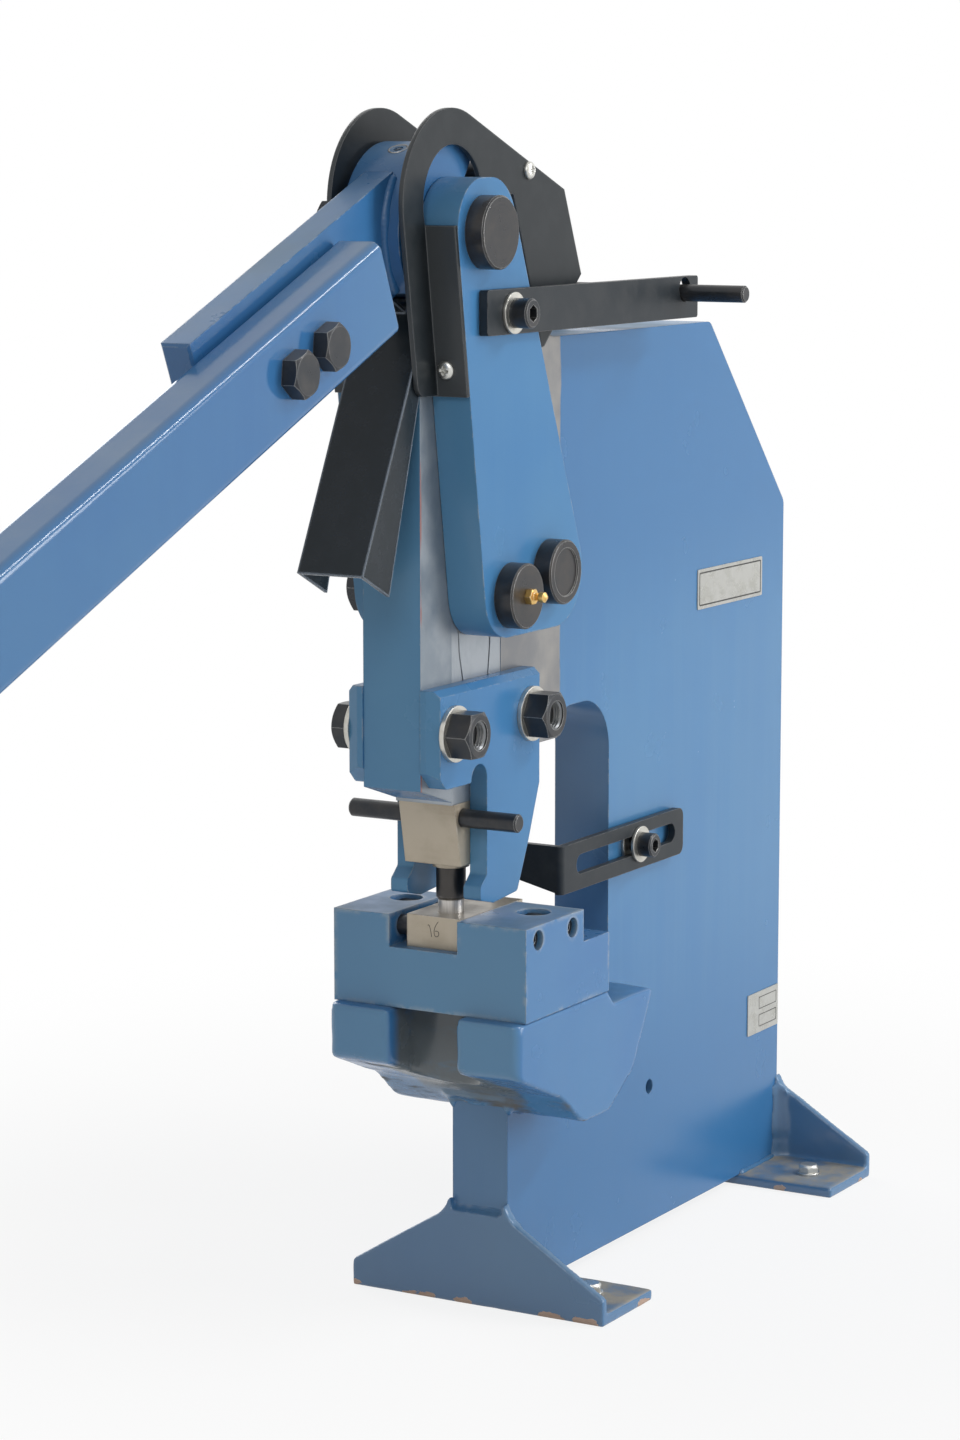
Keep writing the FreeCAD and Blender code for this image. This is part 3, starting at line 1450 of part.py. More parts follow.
def main():
    os.makedirs("parts", exist_ok=True)
    pieces = {
        "frame_plate": make_frame_plate(),
        "bed": make_bed(),
        "front_foot": make_front_foot(),
        "rear_foot": make_rear_foot(),
        "die_holder": make_die_holder(),
        "die_holder_screws": make_die_holder_screws(),
        "die_set_screws": make_die_set_screws(),
        "die": make_die(),
        "front_guide_block": make_front_guide_block(),
        "stripper_plate_right": make_stripper_plate(),
        "stripper_plate_left": mirrored(make_stripper_plate()),
        "clamp_bolts": make_clamp_bolts(),
        "clamp_nuts": make_clamp_nuts(),
        "clamp_washers": make_clamp_washers(),
        "gear_sector": make_gear_sector(),
        "sector_pins": make_sector_pins(),
        "gauge_screw": make_gauge_screw(),
        "gauge_washers": make_gauge_washers(),
        "rocker_plate_right": make_rocker_plate(),
        "rocker_plate_left": mirrored(make_rocker_plate()),
        "fulcrum_pin": make_fulcrum_pin(),
        "ram_pin": make_ram_pin(),
        "top_pin": make_top_pin(),
        "pin_nuts": make_pin_nuts(),
        "grease_nipple": make_grease_nipple(),
        "guard_right": make_guard(),
        "guard_left": mirrored(make_guard()),
        "guard_spacer": make_guard_spacer(),
        "guard_screws": make_guard_screws(),
        "bar_screws": make_bar_screws(),
        "bar_washers": make_bar_washers(),
        "lever_hub": make_lever_hub(),
        "lever_tube": make_lever_tube(),
        "lever_bolts": make_lever_bolts(),
        "tube_end_cap": make_tube_end_cap(),
        "finger_cover": make_finger_cover(),
        "cover_screws": make_cover_screws(),
        "stop_bar_right": make_stop_bar(),
        "stop_bar_left": mirrored(make_stop_bar()),
        "stop_rod": make_stop_rod(),
        "pressure_link": make_pressure_link(),
        "ram": make_ram(),
        "punch_holder": make_punch_holder(),
        "cross_rod": make_cross_rod(),
        "punch": make_punch(),
        "punch_collar": make_punch_collar(),
        "back_gauge": make_back_gauge(),
    }
    for name, shape in pieces.items():
        write_part(name, shape)
        print(name, len(shape.Solids), "solids", round(shape.Volume / cubic_centimetre, 1), "cm3",
              "valid" if shape.isValid() else "NOT VALID")


main()
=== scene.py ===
import bpy
import bmesh
import math
from mathutils import Matrix, Vector
from mathutils import noise as mathNoise


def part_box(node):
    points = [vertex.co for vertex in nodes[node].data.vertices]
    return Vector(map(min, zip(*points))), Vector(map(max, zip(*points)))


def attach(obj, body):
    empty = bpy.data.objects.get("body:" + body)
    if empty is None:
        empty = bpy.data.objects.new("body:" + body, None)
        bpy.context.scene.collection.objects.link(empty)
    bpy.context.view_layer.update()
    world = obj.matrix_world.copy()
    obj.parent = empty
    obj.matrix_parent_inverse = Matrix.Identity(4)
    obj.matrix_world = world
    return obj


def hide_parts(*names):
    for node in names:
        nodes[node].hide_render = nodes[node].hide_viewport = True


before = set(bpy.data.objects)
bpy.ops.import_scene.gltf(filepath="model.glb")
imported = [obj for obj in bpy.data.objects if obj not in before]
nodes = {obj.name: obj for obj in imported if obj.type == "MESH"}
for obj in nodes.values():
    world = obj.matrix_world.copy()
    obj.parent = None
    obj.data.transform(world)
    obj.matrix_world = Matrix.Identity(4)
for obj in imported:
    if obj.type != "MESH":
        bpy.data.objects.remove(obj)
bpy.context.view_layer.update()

# Looks of a bench lever punch, in metres: X across the machine, Y from the operator to the
# back, Z up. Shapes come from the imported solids, so this file holds paint, steel and trim.

mm = 0.001


def addObject(name, data):
    piece = bpy.data.objects.new(name, data)
    bpy.context.scene.collection.objects.link(piece)
    return piece


def centre(node):
    low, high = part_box(node)
    return (low + high) / 2


def facing(outward):
    # turns something built along X
    return Vector((1, 0, 0)).rotation_difference(Vector(outward)).to_matrix().to_4x4()


# Camera at the photograph's angle

camera = {
    "place": (1.1809, -2.2486, 0.7419),
    "turn": 29.93,
    "tilt": 8.76,
    "lens": 95.85,
    "film": 36.0,
}


def makeCamera():
    data = bpy.data.cameras.new("camera")
    data.sensor_width = camera["film"]
    data.lens = camera["lens"]
    data.clip_start = 0.05
    data.clip_end = 60.0
    eye = addObject("camera", data)
    eye.location = camera["place"]
    eye.rotation_euler = (math.radians(90 - camera["tilt"]), 0, math.radians(camera["turn"]))
    bpy.context.scene.camera = eye


# Small helpers for shader trees

nodeGrid = {"across": 12, "width": 200, "height": 240}


def addNode(tree, kind, **settings):
    # nodes are laid out in rows in the order they are made
    node = tree.nodes.new(kind)
    row, column = divmod(len(tree.nodes), nodeGrid["across"])
    node.location = (column * nodeGrid["width"], -row * nodeGrid["height"])
    for name, value in settings.items():
        setattr(node, name, value)
    return node


def put(tree, value, socket):
    # a socket is wired up, anything else is typed in
    if isinstance(value, bpy.types.NodeSocket):
        tree.links.new(value, socket)
    else:
        socket.default_value = value


def mathStep(tree, kind, *values, clamp=False):
    node = addNode(tree, "ShaderNodeMath", operation=kind, use_clamp=clamp)
    for value, socket in zip(values, node.inputs):
        put(tree, value, socket)
    return node.outputs[0]


def times(tree, first, second, clamp=False):
    return mathStep(tree, "MULTIPLY", first, second, clamp=clamp)


def mixColour(tree, factor, first, second):
    node = addNode(tree, "ShaderNodeMix", data_type="RGBA")
    for value, number in ((factor, 0), (first, 6), (second, 7)):
        put(tree, value, node.inputs[number])
    return node.outputs[2]


def mixValue(tree, factor, first, second):
    node = addNode(tree, "ShaderNodeMix", data_type="FLOAT")
    for value, number in ((factor, 0), (first, 2), (second, 3)):
        put(tree, value, node.inputs[number])
    return node.outputs[0]


def ramp(tree, value, low, high):
    node = addNode(tree, "ShaderNodeMapRange", interpolation_type="SMOOTHSTEP")
    for item, label in ((value, "Value"), (low, "From Min"), (high, "From Max")):
        put(tree, item, node.inputs[label])
    return node.outputs["Result"]


def rescale(tree, value, low, high):
    node = addNode(tree, "ShaderNodeMapRange")
    for item, label in ((value, "Value"), (low, "To Min"), (high, "To Max")):
        put(tree, item, node.inputs[label])
    return node.outputs["Result"]


def noise(tree, vector, scale, detail, rough=0.5):
    node = addNode(tree, "ShaderNodeTexNoise")
    for value, label in ((vector, "Vector"), (scale, "Scale"), (detail, "Detail"),
                         (rough, "Roughness")):
        put(tree, value, node.inputs[label])
    return node.outputs["Fac"]


def objectSpot(tree):
    return addNode(tree, "ShaderNodeTexCoord").outputs["Object"]


def stretched(tree, vector, scale):
    node = addNode(tree, "ShaderNodeMapping")
    tree.links.new(vector, node.inputs["Vector"])
    put(tree, scale, node.inputs["Scale"])
    return node.outputs["Vector"]


def splitSpot(tree, vector):
    node = addNode(tree, "ShaderNodeSeparateXYZ")
    tree.links.new(vector, node.inputs[0])
    return node.outputs


def faceNormal(tree):
    return splitSpot(tree, addNode(tree, "ShaderNodeNewGeometry").outputs["Normal"])


def startGroup(name, ins, outs):
    group = bpy.data.node_groups.new(name, "ShaderNodeTree")
    for label, kind, value in ins:
        socket = group.interface.new_socket(label, in_out="INPUT", socket_type="NodeSocket" + kind)
        socket.default_value = value
    for label, kind in outs:
        group.interface.new_socket(label, in_out="OUTPUT", socket_type="NodeSocket" + kind)
    inside = addNode(group, "NodeGroupInput")
    outside = addNode(group, "NodeGroupOutput")
    return group, inside.outputs, outside.inputs


# Shared effects. Each is built once and placed in the materials with its own values.

def makeEdgeWearAndHighlight():
    # 1 along outside corners, broken up as rubbed paint is, and on the black parts also a painted
    # highlight along the corners and the cover's fold; Soft is the rounded corner normal
    group, ins, outs = startGroup(
        "edgeWearAndHighlight",
        [("Width", "Float", 0.0015), ("Amount", "Float", 0.5), ("Breakup", "Float", 90.0),
         ("Round", "Float", 0.0011)],
        [("Mask", "Float"), ("Soft", "Vector")],
    )
    bevel = addNode(group, "ShaderNodeBevel", samples=5)
    group.links.new(ins["Width"], bevel.inputs["Radius"])
    flat = addNode(group, "ShaderNodeNewGeometry")
    dot = addNode(group, "ShaderNodeVectorMath", operation="DOT_PRODUCT")
    group.links.new(bevel.outputs[0], dot.inputs[0])
    group.links.new(flat.outputs["Normal"], dot.inputs[1])
    turned = mathStep(group, "SUBTRACT", 1.0, dot.outputs["Value"])
    near = ramp(group, turned, 0.015, 0.17)
    rubs = noise(group, objectSpot(group), ins["Breakup"], 6.0, 0.65)
    limit = mathStep(group, "SUBTRACT", 1.0, ins["Amount"])
    patch = ramp(group, rubs, limit, mathStep(group, "ADD", limit, 0.12))
    mask = times(group, near, patch, clamp=True)
    group.links.new(mask, outs["Mask"])
    soft = addNode(group, "ShaderNodeBevel", samples=5)
    group.links.new(ins["Round"], soft.inputs["Radius"])
    group.links.new(soft.outputs[0], outs["Soft"])


def makeUpFacingBlotches():
    # faces that look up, thicker in blotches: dust and oil, in the blue enamels also a painted
    # reflection of the sky and on the tool steel also painted shade
    group, ins, outs = startGroup(
        "upFacingBlotches",
        [("Amount", "Float", 0.3), ("Blotch", "Float", 14.0)],
        [("Mask", "Float")],
    )
    level = ramp(group, faceNormal(group)["Z"], 0.55, 0.97)
    blotch = noise(group, objectSpot(group), ins["Blotch"], 5.0, 0.6)
    both = times(group, level, ramp(group, blotch, 0.3, 0.72))
    mask = times(group, both, ins["Amount"], clamp=True)
    group.links.new(mask, outs["Mask"])


def makeEnamelSkin():
    # brushed-on gloss enamel: cloudy colour, faint runs down the face, orange peel
    group, ins, outs = startGroup(
        "enamelSkin",
        [("Paint", "Color", (0.07, 0.21, 0.42, 1)), ("Faded", "Color", (0.09, 0.23, 0.43, 1)),
         ("Runs", "Float", 0.3), ("Peel", "Float", 420.0)],
        [("Color", "Color"), ("Roughness", "Float"), ("Height", "Float")],
    )
    spot = objectSpot(group)
    cloudy = ramp(group, noise(group, spot, 7.0, 3.0), 0.32, 0.7)
    base = mixColour(group, cloudy, ins["Paint"], ins["Faded"])
    down = stretched(group, spot, (85.0, 85.0, 4.0))
    runs = ramp(group, noise(group, down, 1.0, 3.0), 0.35, 0.75)
    shade = mixColour(group, times(group, runs, ins["Runs"]), base, ins["Faded"])
    group.links.new(shade, outs["Color"])
    rough = rescale(group, noise(group, spot, 26.0, 4.0), 0.15, 0.33)
    group.links.new(rough, outs["Roughness"])
    peel = noise(group, spot, ins["Peel"], 2.0)
    waves = noise(group, spot, 55.0, 2.0)
    height = mathStep(group, "MULTIPLY_ADD", peel, 0.12, waves)
    group.links.new(height, outs["Height"])


def makeChips():
    # small islands where paint or scale has come off
    group, ins, outs = startGroup(
        "chips",
        [("Size", "Float", 60.0), ("Amount", "Float", 0.2)],
        [("Mask", "Float")],
    )
    coarse = noise(group, objectSpot(group), ins["Size"], 6.0, 0.7)
    limit = mathStep(group, "SUBTRACT", 0.95, ins["Amount"])
    mask = ramp(group, coarse, limit, mathStep(group, "ADD", limit, 0.03))
    group.links.new(mask, outs["Mask"])


def makeToolMarks():
    # fine parallel marks of grinding or turning, with the odd deeper scratch
    group, ins, outs = startGroup(
        "toolMarks",
        [("Stretch", "Vector", (900.0, 12.0, 900.0)), ("Stain", "Float", 20.0)],
        [("Marks", "Float"), ("Stains", "Float"), ("Roughness", "Float")],
    )
    spot = objectSpot(group)
    marks = noise(group, stretched(group, spot, ins["Stretch"]), 1.0, 3.0)
    stains = noise(group, spot, ins["Stain"], 5.0, 0.6)
    cloudy = ramp(group, stains, 0.35, 0.7)
    rough = rescale(group, times(group, marks, cloudy), 0.28, 0.58)
    group.links.new(marks, outs["Marks"])
    group.links.new(cloudy, outs["Stains"])
    group.links.new(rough, outs["Roughness"])


def useGroup(tree, name, **values):
    node = addNode(tree, "ShaderNodeGroup", node_tree=bpy.data.node_groups[name])
    for label, value in values.items():
        put(tree, value, node.inputs[label])
    return node.outputs


def startMaterial(name, metallic, specular, viewColour):
    material = bpy.data.materials.new(name)
    material.use_nodes = True
    material.diffuse_color = viewColour
    shader = material.node_tree.nodes["Principled BSDF"]
    shader.inputs["Metallic"].default_value = metallic
    shader.inputs["Specular IOR Level"].default_value = specular
    return material, material.node_tree, shader.inputs


def wireUp(tree, shader, colour, rough, height, strength, distance, soft=None, metal=None):
    bump = addNode(tree, "ShaderNodeBump")
    for value, socket in (
        (strength, bump.inputs["Strength"]), (distance, bump.inputs["Distance"]),
        (height, bump.inputs["Height"]), (soft, bump.inputs["Normal"]),
        (colour, shader["Base Color"]), (rough, shader["Roughness"]),
        (metal, shader["Metallic"]), (bump.outputs[0], shader["Normal"]),
    ):
        if value is not None:
            put(tree, value, socket)


# Blue enamel

plainBlue = {"paint": (0.053, 0.195, 0.415, 1), "faded": (0.070, 0.222, 0.428, 1)}

# film and its amount give a painted reflection of the room on faces that look towards the front
blueEnamel = {
    "frame": dict(plainBlue, film=(0.20, 0.19, 0.165, 1), amount=0.24),
    "plates": dict(plainBlue, film=(0.18, 0.34, 0.40, 1), amount=0.3),
    "lever": {"paint": (0.038, 0.156, 0.366, 1), "faded": (0.050, 0.178, 0.378, 1),
              "film": (0.165, 0.17, 0.165, 1), "amount": 0.2},
    "casting": {"paint": (0.042, 0.172, 0.402, 1), "faded": (0.056, 0.196, 0.415, 1),
                "film": (0.17, 0.34, 0.39, 1), "amount": 0.32},
    "feet": dict(plainBlue, film=(0.165, 0.17, 0.165, 1), amount=0.2),
    # dust and a painted reflection of the sky on faces that look up, greying them
    "dustAndSkyReflection": (0.20, 0.24, 0.24, 1),
    "castDustAndSkyReflection": (0.13, 0.17, 0.18, 1),
    # painted sheen, a lighter greyer blue on the frame sides
    "paintedSheen": (0.092, 0.228, 0.410, 1),
    # painted shade, a darker blue for the top and bottom of the frame sides
    "deep": (0.035, 0.158, 0.362, 1),
    # painted shade: the feet are darkened all over towards this colour
    "footShadeColour": (0.06, 0.07, 0.075, 1),
    # how far the feet are darkened as painted shade
    "footShadeAmount": 0.2,
    "worn": (0.30, 0.38, 0.46, 1),
    "rust": (0.32, 0.15, 0.07, 1),
    "primer": (0.36, 0.18, 0.16, 1),
}


def enamelColour(tree, coat, runs, wearAndHighlight, dustAndSkyReflection):
    look = blueEnamel[coat]
    skin = useGroup(tree, "enamelSkin", Paint=look["paint"], Faded=look["faded"], Runs=runs)
    edge = useGroup(tree, "edgeWearAndHighlight", Width=0.0016, Amount=wearAndHighlight)
    upFacing = useGroup(tree, "upFacingBlotches", Amount=dustAndSkyReflection)
    # painted reflection: faces that look towards the front are mixed towards the film colour
    ahead = ramp(tree, faceNormal(tree)["Y"], -0.3, -0.95)
    film = times(tree, ahead, look["amount"])
    sheened = mixColour(tree, film, skin["Color"], look["film"])
    rubbedAndHighlit = mixColour(tree, edge["Mask"], sheened, blueEnamel["worn"])
    # faces that look up take dust and a painted sky reflection
    upFacingColour = blueEnamel["castDustAndSkyReflection" if coat == "casting" else "dustAndSkyReflection"]
    upToned = mixColour(tree, upFacing["Mask"], rubbedAndHighlit, upFacingColour)
    rough = mixValue(tree, upFacing["Mask"], skin["Roughness"], 0.75)
    return upToned, rough, skin["Height"], edge["Soft"]


def makeBlueEnamel(name, coat, specular, shine, dustAndSkyReflection, bump):
    material, tree, shader = startMaterial(name, 0.0, specular, blueEnamel[coat]["paint"])
    colour, rough, height, soft = enamelColour(tree, coat, 0.25, 0.52, dustAndSkyReflection)
    wireUp(tree, shader, colour, times(tree, rough, shine), height, bump, 0.0004, soft)
    return material


def onSides(tree):
    return ramp(tree, mathStep(tree, "ABSOLUTE", faceNormal(tree)["X"]), 0.7, 0.9)


def addGroundSteel(tree, shader, painted, height, bump, soft, look, mask, chipped=None):
    # paint gives way to ground steel where the mask is 1
    colour, rough = painted
    marks = useGroup(tree, "toolMarks", Stretch=look["stretch"], Stain=look["stain"])
    steel = mixColour(tree, marks["Stains"], look["dark"], look["light"])
    if chipped is not None:
        steel = mixColour(tree, chipped, steel, blueEnamel["primer"])
    both = mixColour(tree, mask, colour, steel)
    bothRough = mixValue(tree, mask, rough, marks["Roughness"])
    metal = times(tree, mask, look["metal"])
    wireUp(tree, shader, both, bothRough, height, bump, 0.0004, soft, metal)


# Zones run from start to full along Y or Z; the first is a painted sheen, top and floor are painted
# shade; the cheek has its steel with it

frameZones = {
    "sheened": (0.03, 0.33),
    "top": (0.37, 0.5),
    "floor": (0.24, 0.09),
    "cheekFront": (-0.1262, -0.1284),
    "cheekLow": (0.352, 0.356),
    "cheek": {"dark": (0.22, 0.225, 0.235, 1), "light": (0.31, 0.30, 0.285, 1), "metal": 0.75,
              "stretch": (30.0, 900.0, 30.0), "stain": 22.0},
}


def makeFrameEnamel():
    # streaked sides with a painted sheen towards the back and painted shade towards the top and bottom,
    # with the head's cheeks ground where the rocker plates sweep
    material, tree, shader = startMaterial("frameEnamel", 0.0, 0.46, blueEnamel["frame"]["paint"])
    colour, rough, height, soft = enamelColour(tree, "frame", 0.6, 0.5, 0.6)
    spot = objectSpot(tree)
    xyz = splitSpot(tree, spot)
    # painted sheen: towards the back the sides turn a lighter greyer blue, with a streaked edge
    streaks = noise(tree, stretched(tree, spot, (20.0, 34.0, 2.2)), 1.0, 5.0, 0.6)
    drift = mathStep(tree, "MULTIPLY_ADD", streaks, 0.26, xyz["Y"])
    paintedSheen = times(tree, ramp(tree, drift, *frameZones["sheened"]), 0.5)
    sheened = mixColour(tree, paintedSheen, colour, blueEnamel["paintedSheen"])
    # painted shade: the sides darken towards the top and the bottom
    sides = onSides(tree)
    top = ramp(tree, xyz["Z"], *frameZones["top"])
    floor = ramp(tree, xyz["Z"], *frameZones["floor"])
    ends = times(tree, times(tree, mathStep(tree, "MAXIMUM", top, floor), sides), 0.85)
    shaded = mixColour(tree, ends, sheened, blueEnamel["deep"])
    sway = mathStep(tree, "MULTIPLY_ADD", noise(tree, spot, 18.0, 3.0), 0.006, xyz["Y"])
    ahead = ramp(tree, sway, *frameZones["cheekFront"])
    above = ramp(tree, xyz["Z"], *frameZones["cheekLow"])
    cheek = times(tree, times(tree, ahead, above), sides)
    addGroundSteel(tree, shader, (shaded, rough), height, 0.06, soft,
                   frameZones["cheek"], cheek)
    return material


guideBlockSide = {
    "corner": (-0.3012, -0.3022),
    "dark": (0.225, 0.265, 0.305, 1), "light": (0.325, 0.355, 0.385, 1), "metal": 0.35,
    "stretch": (30.0, 700.0, 60.0), "stain": 30.0,
}


def makeGuideBlockEnamel():
    # painted on the front and below, ground at the sides, primer showing at the corner
    material, tree, shader = startMaterial("guideBlockEnamel", 0.0, 0.3, blueEnamel["plates"]["paint"])
    colour, rough, height, soft = enamelColour(tree, "plates", 0.3, 0.45, 0.5)
    spot = objectSpot(tree)
    flakes = noise(tree, stretched(tree, spot, (60.0, 60.0, 14.0)), 1.0, 4.0)
    corner = ramp(tree, splitSpot(tree, spot)["Y"], *guideBlockSide["corner"])
    primer = times(tree, corner, ramp(tree, flakes, 0.42, 0.54))
    addGroundSteel(tree, shader, (colour, rough), height, 0.12, soft, guideBlockSide,
                   onSides(tree), primer)
    return material


# Recess under the die: half width, front, back

recessZones = {"width": (0.040, 0.034), "front": (-0.266, -0.255), "back": (-0.195, -0.215)}


def makeCastEnamel():
    # rough casting: lumpy skin, brown oil and bare streaks underneath
    material, tree, shader = startMaterial("castEnamel", 0.0, 0.56, blueEnamel["casting"]["paint"])
    colour, rough, height, soft = enamelColour(tree, "casting", 0.15, 0.5, 0.5)
    below = ramp(tree, faceNormal(tree)["Z"], -0.1, -0.75)
    spot = objectSpot(tree)
    patches = noise(tree, stretched(tree, spot, (1.0, 1.6, 3.0)), 26.0, 6.0, 0.62)
    under = times(tree, below, ramp(tree, patches, 0.5, 0.68))
    dirty = mixColour(tree, under, colour, (0.12, 0.115, 0.105, 1))
    chips = useGroup(tree, "chips", Size=75.0, Amount=0.3)
    chipped = mixColour(tree, times(tree, chips["Mask"], below), dirty, (0.25, 0.235, 0.21, 1))
    dull = mixValue(tree, under, rough, 0.7)
    # greyer colour in the recess under the die
    xyz = splitSpot(tree, spot)
    between = ramp(tree, mathStep(tree, "ABSOLUTE", xyz["X"]), *recessZones["width"])
    deep = ramp(tree, xyz["Y"], *recessZones["front"])
    forward = ramp(tree, xyz["Y"], *recessZones["back"])
    recess = times(tree, between, times(tree, deep, forward))
    thick = times(tree, recess, ramp(tree, patches, 0.0, 0.45))
    recessGreyed = mixColour(tree, thick, chipped, (0.12, 0.14, 0.15, 1))
    bumps = mathStep(tree, "ADD", noise(tree, spot, 60.0, 2.0), height)
    wireUp(tree, shader, recessGreyed, dull, bumps, 0.2, 0.0008, soft)
    return material


footZones = {"flange": (0.0085, 0.0075), "chips": (0.0095, 0.0005)}


def makeFootEnamel():
    # flat-cut feet: painted shade darkens them all over, rust chips along the ground edge, grey-brown
    # dirt on the flanges
    material, tree, shader = startMaterial("footEnamel", 0.0, 0.72, blueEnamel["feet"]["paint"])
    colour, rough, height, soft = enamelColour(tree, "feet", 0.2, 0.55, 0.3)
    level = ramp(tree, faceNormal(tree)["Z"], 0.5, 0.9)
    spot = objectSpot(tree)
    xyz = splitSpot(tree, spot)
    flange = times(tree, level, ramp(tree, xyz["Z"], *footZones["flange"]))
    patches = noise(tree, spot, 38.0, 6.0, 0.65)
    dirt = times(tree, flange, ramp(tree, patches, 0.28, 0.66))
    soil = mixColour(tree, patches, (0.16, 0.15, 0.13, 1), (0.42, 0.38, 0.31, 1))
    # painted shade: the whole foot is darkened towards a dark grey
    darker = mixColour(tree, blueEnamel["footShadeAmount"], colour, blueEnamel["footShadeColour"])
    dirty = mixColour(tree, dirt, darker, soil)
    low = ramp(tree, xyz["Z"], *footZones["chips"])
    flakes = noise(tree, stretched(tree, spot, (52.0, 52.0, 120.0)), 1.0, 6.0, 0.68)
    clumps = noise(tree, stretched(tree, spot, (26.0, 26.0, 1.0)), 1.0, 1.0)
    bunches = ramp(tree, clumps, 0.5, 0.64)
    reach = mathStep(tree, "MULTIPLY_ADD", times(tree, low, bunches), 0.42, flakes)
    chip = ramp(tree, reach, 0.80, 0.825)
    rust = mixColour(tree, flakes, blueEnamel["rust"], (0.62, 0.50, 0.42, 1))
    chipped = mixColour(tree, chip, dirty, rust)
    dull = mixValue(tree, mathStep(tree, "MAXIMUM", dirt, chip), rough, 0.85)
    wireUp(tree, shader, chipped, dull, height, 0.3, 0.0005, soft)
    return material


def makeHolderEnamel():
    # die holder: paint rubbed off in cloudy patches round the tool
    material, tree, shader = startMaterial("holderEnamel", 0.0, 0.56, blueEnamel["casting"]["paint"])
    colour, rough, height, soft = enamelColour(tree, "casting", 0.15, 0.55, 0.75)
    chips = useGroup(tree, "chips", Size=48.0, Amount=0.22)
    edge = useGroup(tree, "edgeWearAndHighlight", Width=0.006, Amount=0.55, Breakup=40.0)
    rub = mathStep(tree, "MAXIMUM", chips["Mask"], edge["Mask"])
    worn = mixColour(tree, times(tree, rub, 0.55), colour, (0.42, 0.46, 0.46, 1))
    wireUp(tree, shader, worn, rough, height, 0.12, 0.0004, soft)
    return material


# Steels

steelFinishes = {
    "groundSteel": {"dark": (0.23, 0.26, 0.29, 1), "light": (0.37, 0.40, 0.43, 1), "metal": 0.6,
                    "stretch": (25.0, 600.0, 60.0), "stain": 26.0, "wearAndHighlight": 0.4, "bump": 0.2},
    "wornToolSteel": {"dark": (0.30, 0.245, 0.175, 1), "light": (0.47, 0.41, 0.32, 1), "metal": 0.35,
                      "stretch": (16.0, 300.0, 340.0), "stain": 30.0, "wearAndHighlight": 0.5, "bump": 0.25,
                      "oil": (0.08, 0.07, 0.058, 1)},
    "zincPlate": {"dark": (0.42, 0.41, 0.37, 1), "light": (0.68, 0.68, 0.65, 1), "metal": 0.95,
                  "stretch": (200.0, 200.0, 200.0), "stain": 120.0, "wearAndHighlight": 0.4, "bump": 0.1},
    "yellowZinc": {"dark": (0.38, 0.355, 0.30, 1), "light": (0.62, 0.61, 0.565, 1), "metal": 0.85,
                   "stretch": (260.0, 260.0, 260.0), "stain": 90.0, "wearAndHighlight": 0.5, "bump": 0.15},
    "threadSteel": {"dark": (0.07, 0.075, 0.08, 1), "light": (0.20, 0.21, 0.22, 1), "metal": 0.7,
                    "stretch": (300.0, 60.0, 60.0), "stain": 70.0, "wearAndHighlight": 0.6, "bump": 0.2},
    "brassFitting": {"dark": (0.46, 0.27, 0.07, 1), "light": (0.78, 0.52, 0.19, 1), "metal": 0.95,
                     "stretch": (240.0, 240.0, 240.0), "stain": 160.0, "wearAndHighlight": 0.5, "bump": 0.1},
}


def makeSteel(name):
    look = steelFinishes[name]
    material, tree, shader = startMaterial(name, look["metal"], 0.5, look["light"])
    marks = useGroup(tree, "toolMarks", Stretch=look["stretch"], Stain=look["stain"])
    edge = useGroup(tree, "edgeWearAndHighlight", Width=0.0008, Amount=look["wearAndHighlight"])
    body = mixColour(tree, marks["Stains"], look["light"], look["dark"])
    lined = mixColour(tree, marks["Marks"], body, look["light"])
    # oil and painted shade darken the faces that look up
    if "oil" in look:
        oily = useGroup(tree, "upFacingBlotches", Amount=1.0, Blotch=30.0)
        level = ramp(tree, faceNormal(tree)["Z"], 0.5, 1.8)
        spread = mathStep(tree, "MULTIPLY_ADD", oily["Mask"], 0.45, level, clamp=True)
        lined = mixColour(tree, spread, lined, look["oil"])
    rubbedAndHighlit = mixColour(tree, edge["Mask"], lined, (0.7, 0.69, 0.66, 1))
    wireUp(tree, shader, rubbedAndHighlit, marks["Roughness"], marks["Marks"], look["bump"], 0.0001, edge["Soft"])
    return material


